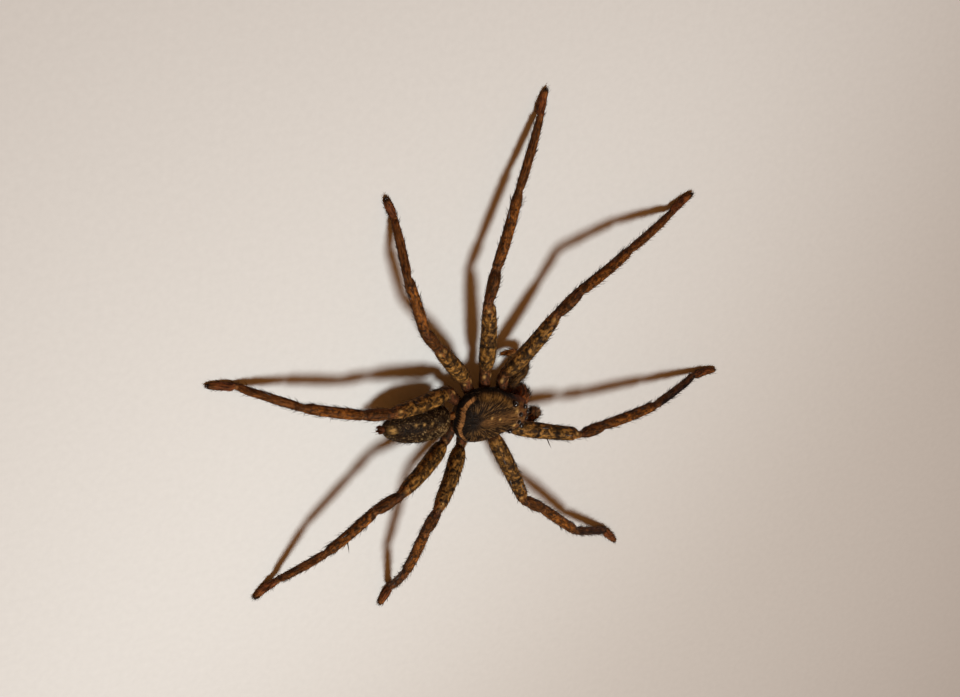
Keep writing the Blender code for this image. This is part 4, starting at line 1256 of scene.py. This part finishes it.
def buildStudio():
    scene = bpy.context.scene
    look = (np.array(studio["look"]) - centre) * mm
    tilt, azimuth = math.radians(studio["tilt"]), math.radians(studio["azimuth"])
    back = np.array((math.cos(azimuth) * math.sin(tilt), math.sin(azimuth) * math.sin(tilt), math.cos(tilt)))
    level = np.array((-math.sin(azimuth), math.cos(azimuth), 0.0))
    high = np.cross(level, back)
    roll = math.radians(studio["roll"])
    right = math.cos(roll) * high - math.sin(roll) * level
    top = math.sin(roll) * high + math.cos(roll) * level
    data = bpy.data.cameras.new("camera")
    data.lens, data.sensor_width = studio["lens"], studio["sensor"]
    data.clip_start, data.clip_end = 0.01, 20.0
    camera = bpy.data.objects.new("camera", data)
    stand = look + back * studio["distance"] * mm
    camera.matrix_world = Matrix([*zip(right, top, back, stand), (0, 0, 0, 1)])
    scene.collection.objects.link(camera)
    scene.camera = camera

    turn = Matrix.Rotation(math.radians(studio["lightTurn"]), 3, "Z")
    lamp = bpy.data.lights.new("key", "AREA")
    lamp.shape, lamp.size = "DISK", studio["lightSize"] * mm
    lamp.energy, lamp.color = studio["lightPower"], studio["lightColour"]
    key = bpy.data.objects.new("key", lamp)
    key.location = Vector(look) + turn @ Vector(studio["lightFrom"]) * mm
    key.rotation_euler = (key.location - Vector(look)).to_track_quat("Z", "Y").to_euler()
    scene.collection.objects.link(key)

    world = bpy.data.worlds.new("studio")
    world.use_nodes = True
    sky = world.node_tree.nodes["Background"]
    sky.inputs["Color"].default_value = (*studio["skyColour"], 1.0)
    sky.inputs["Strength"].default_value = studio["skyStrength"]
    scene.world = world

    half = studio["floorSize"] / 2
    floor = bpy.data.meshes.new("floor")
    corners = [(-half, -half, 0), (half, -half, 0), (half, half, 0), (-half, half, 0)]
    floor.from_pydata(corners, [], [(0, 1, 2, 3)])
    piece = bpy.data.objects.new("floor", floor)
    material, tree, shader = newMaterial("floor", studio["floorSpecular"])
    shader.inputs["Roughness"].default_value = studio["floorRough"]
    where = put(tree, "ShaderNodeTexCoord").outputs["Object"]
    grain = noiseOf(tree, where, *studio["floorGrain"])
    low, high = ([value * level for value in studio["floorColour"]] for level in studio["floorVary"])
    # painted shade: the floor's colour darkens towards one side
    apart = put(tree, "ShaderNodeSeparateXYZ", Vector=where)
    along = put(tree, "ShaderNodeMath", {"operation": "SUBTRACT"}, _0=apart.outputs[0], _1=apart.outputs[1])
    fade = rangeOf(tree, along.outputs[0], studio["shadeFrom"], studio["shadeTo"])
    shadedFloor = mixOf(tree, fade, (1, 1, 1), studio["floorShade"])
    shaded = mixOf(tree, 1.0, mixOf(tree, grain, low, high), shadedFloor, "MULTIPLY")
    tree.links.new(shaded, shader.inputs["Base Color"])
    floor.materials.append(material)
    scene.collection.objects.link(piece)
    scene.view_settings.view_transform = "Standard"


def dress(piece, material):
    piece.data.materials.clear()
    piece.data.materials.append(material)
    piece.data.shade_smooth()
    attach(piece, "root")


def main():
    materials = buildMaterials()
    buildStudio()
    print("studio ready")
    parts, joints = buildParts()
    print("parts of the skin:", len(parts))
    skin = uniteSkin([(name, points - centre, faces) for name, points, faces in parts])
    values = readSkin(skin)
    setAttributes(skin.data, values)
    dress(skin, materials["cuticle"])
    skin.data.set_sharp_from_angle(angle=math.radians(50))
    fleshNodes = [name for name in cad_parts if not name.startswith("eye_")]
    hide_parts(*fleshNodes)
    print("skin dressed, points:", len(values["points"]))

    draw = np.random.default_rng(coats["seed"])
    kinds = values["kind"][values["triangles"][:, 0]]
    onLegs, onFace = (kinds >= 1) & (kinds < 20), kinds >= 20
    for number, name in enumerate(legs["poses"]):
        piece = growHair("hair_" + name, values, kinds == number + 1, coats["short"], draw)
        dress(piece, materials["shortHair"])
    for name, chosen, slot in (("body", kinds == 0, "abdomen"), ("face", onFace, "jaw")):
        dress(growHair("hair_" + name, values, chosen, coats["short"], draw), materials["shortHair"])
    for name, chosen, slot, scale in (
        ("legs", onLegs, "foot", 1.0), ("body", kinds == 0, "abdomen", 1.0),
        ("face", onFace, "jaw", coats["faceBristles"]),
    ):
        piece = growHair("bristles_" + name, values, chosen, coats["bristle"], draw, scale)
        dress(piece, materials["bristle"])
    dress(growSpines(joints), materials["spine"])
    dress(growClaws(joints), materials["fang"])
    for fang in growFangs():
        dress(fang, materials["fang"])
    for eye in growEyes(eyePlaces()):
        dress(eye, materials["eye"])
    print("hair, spines, claws, fangs and eyes in place")


main()
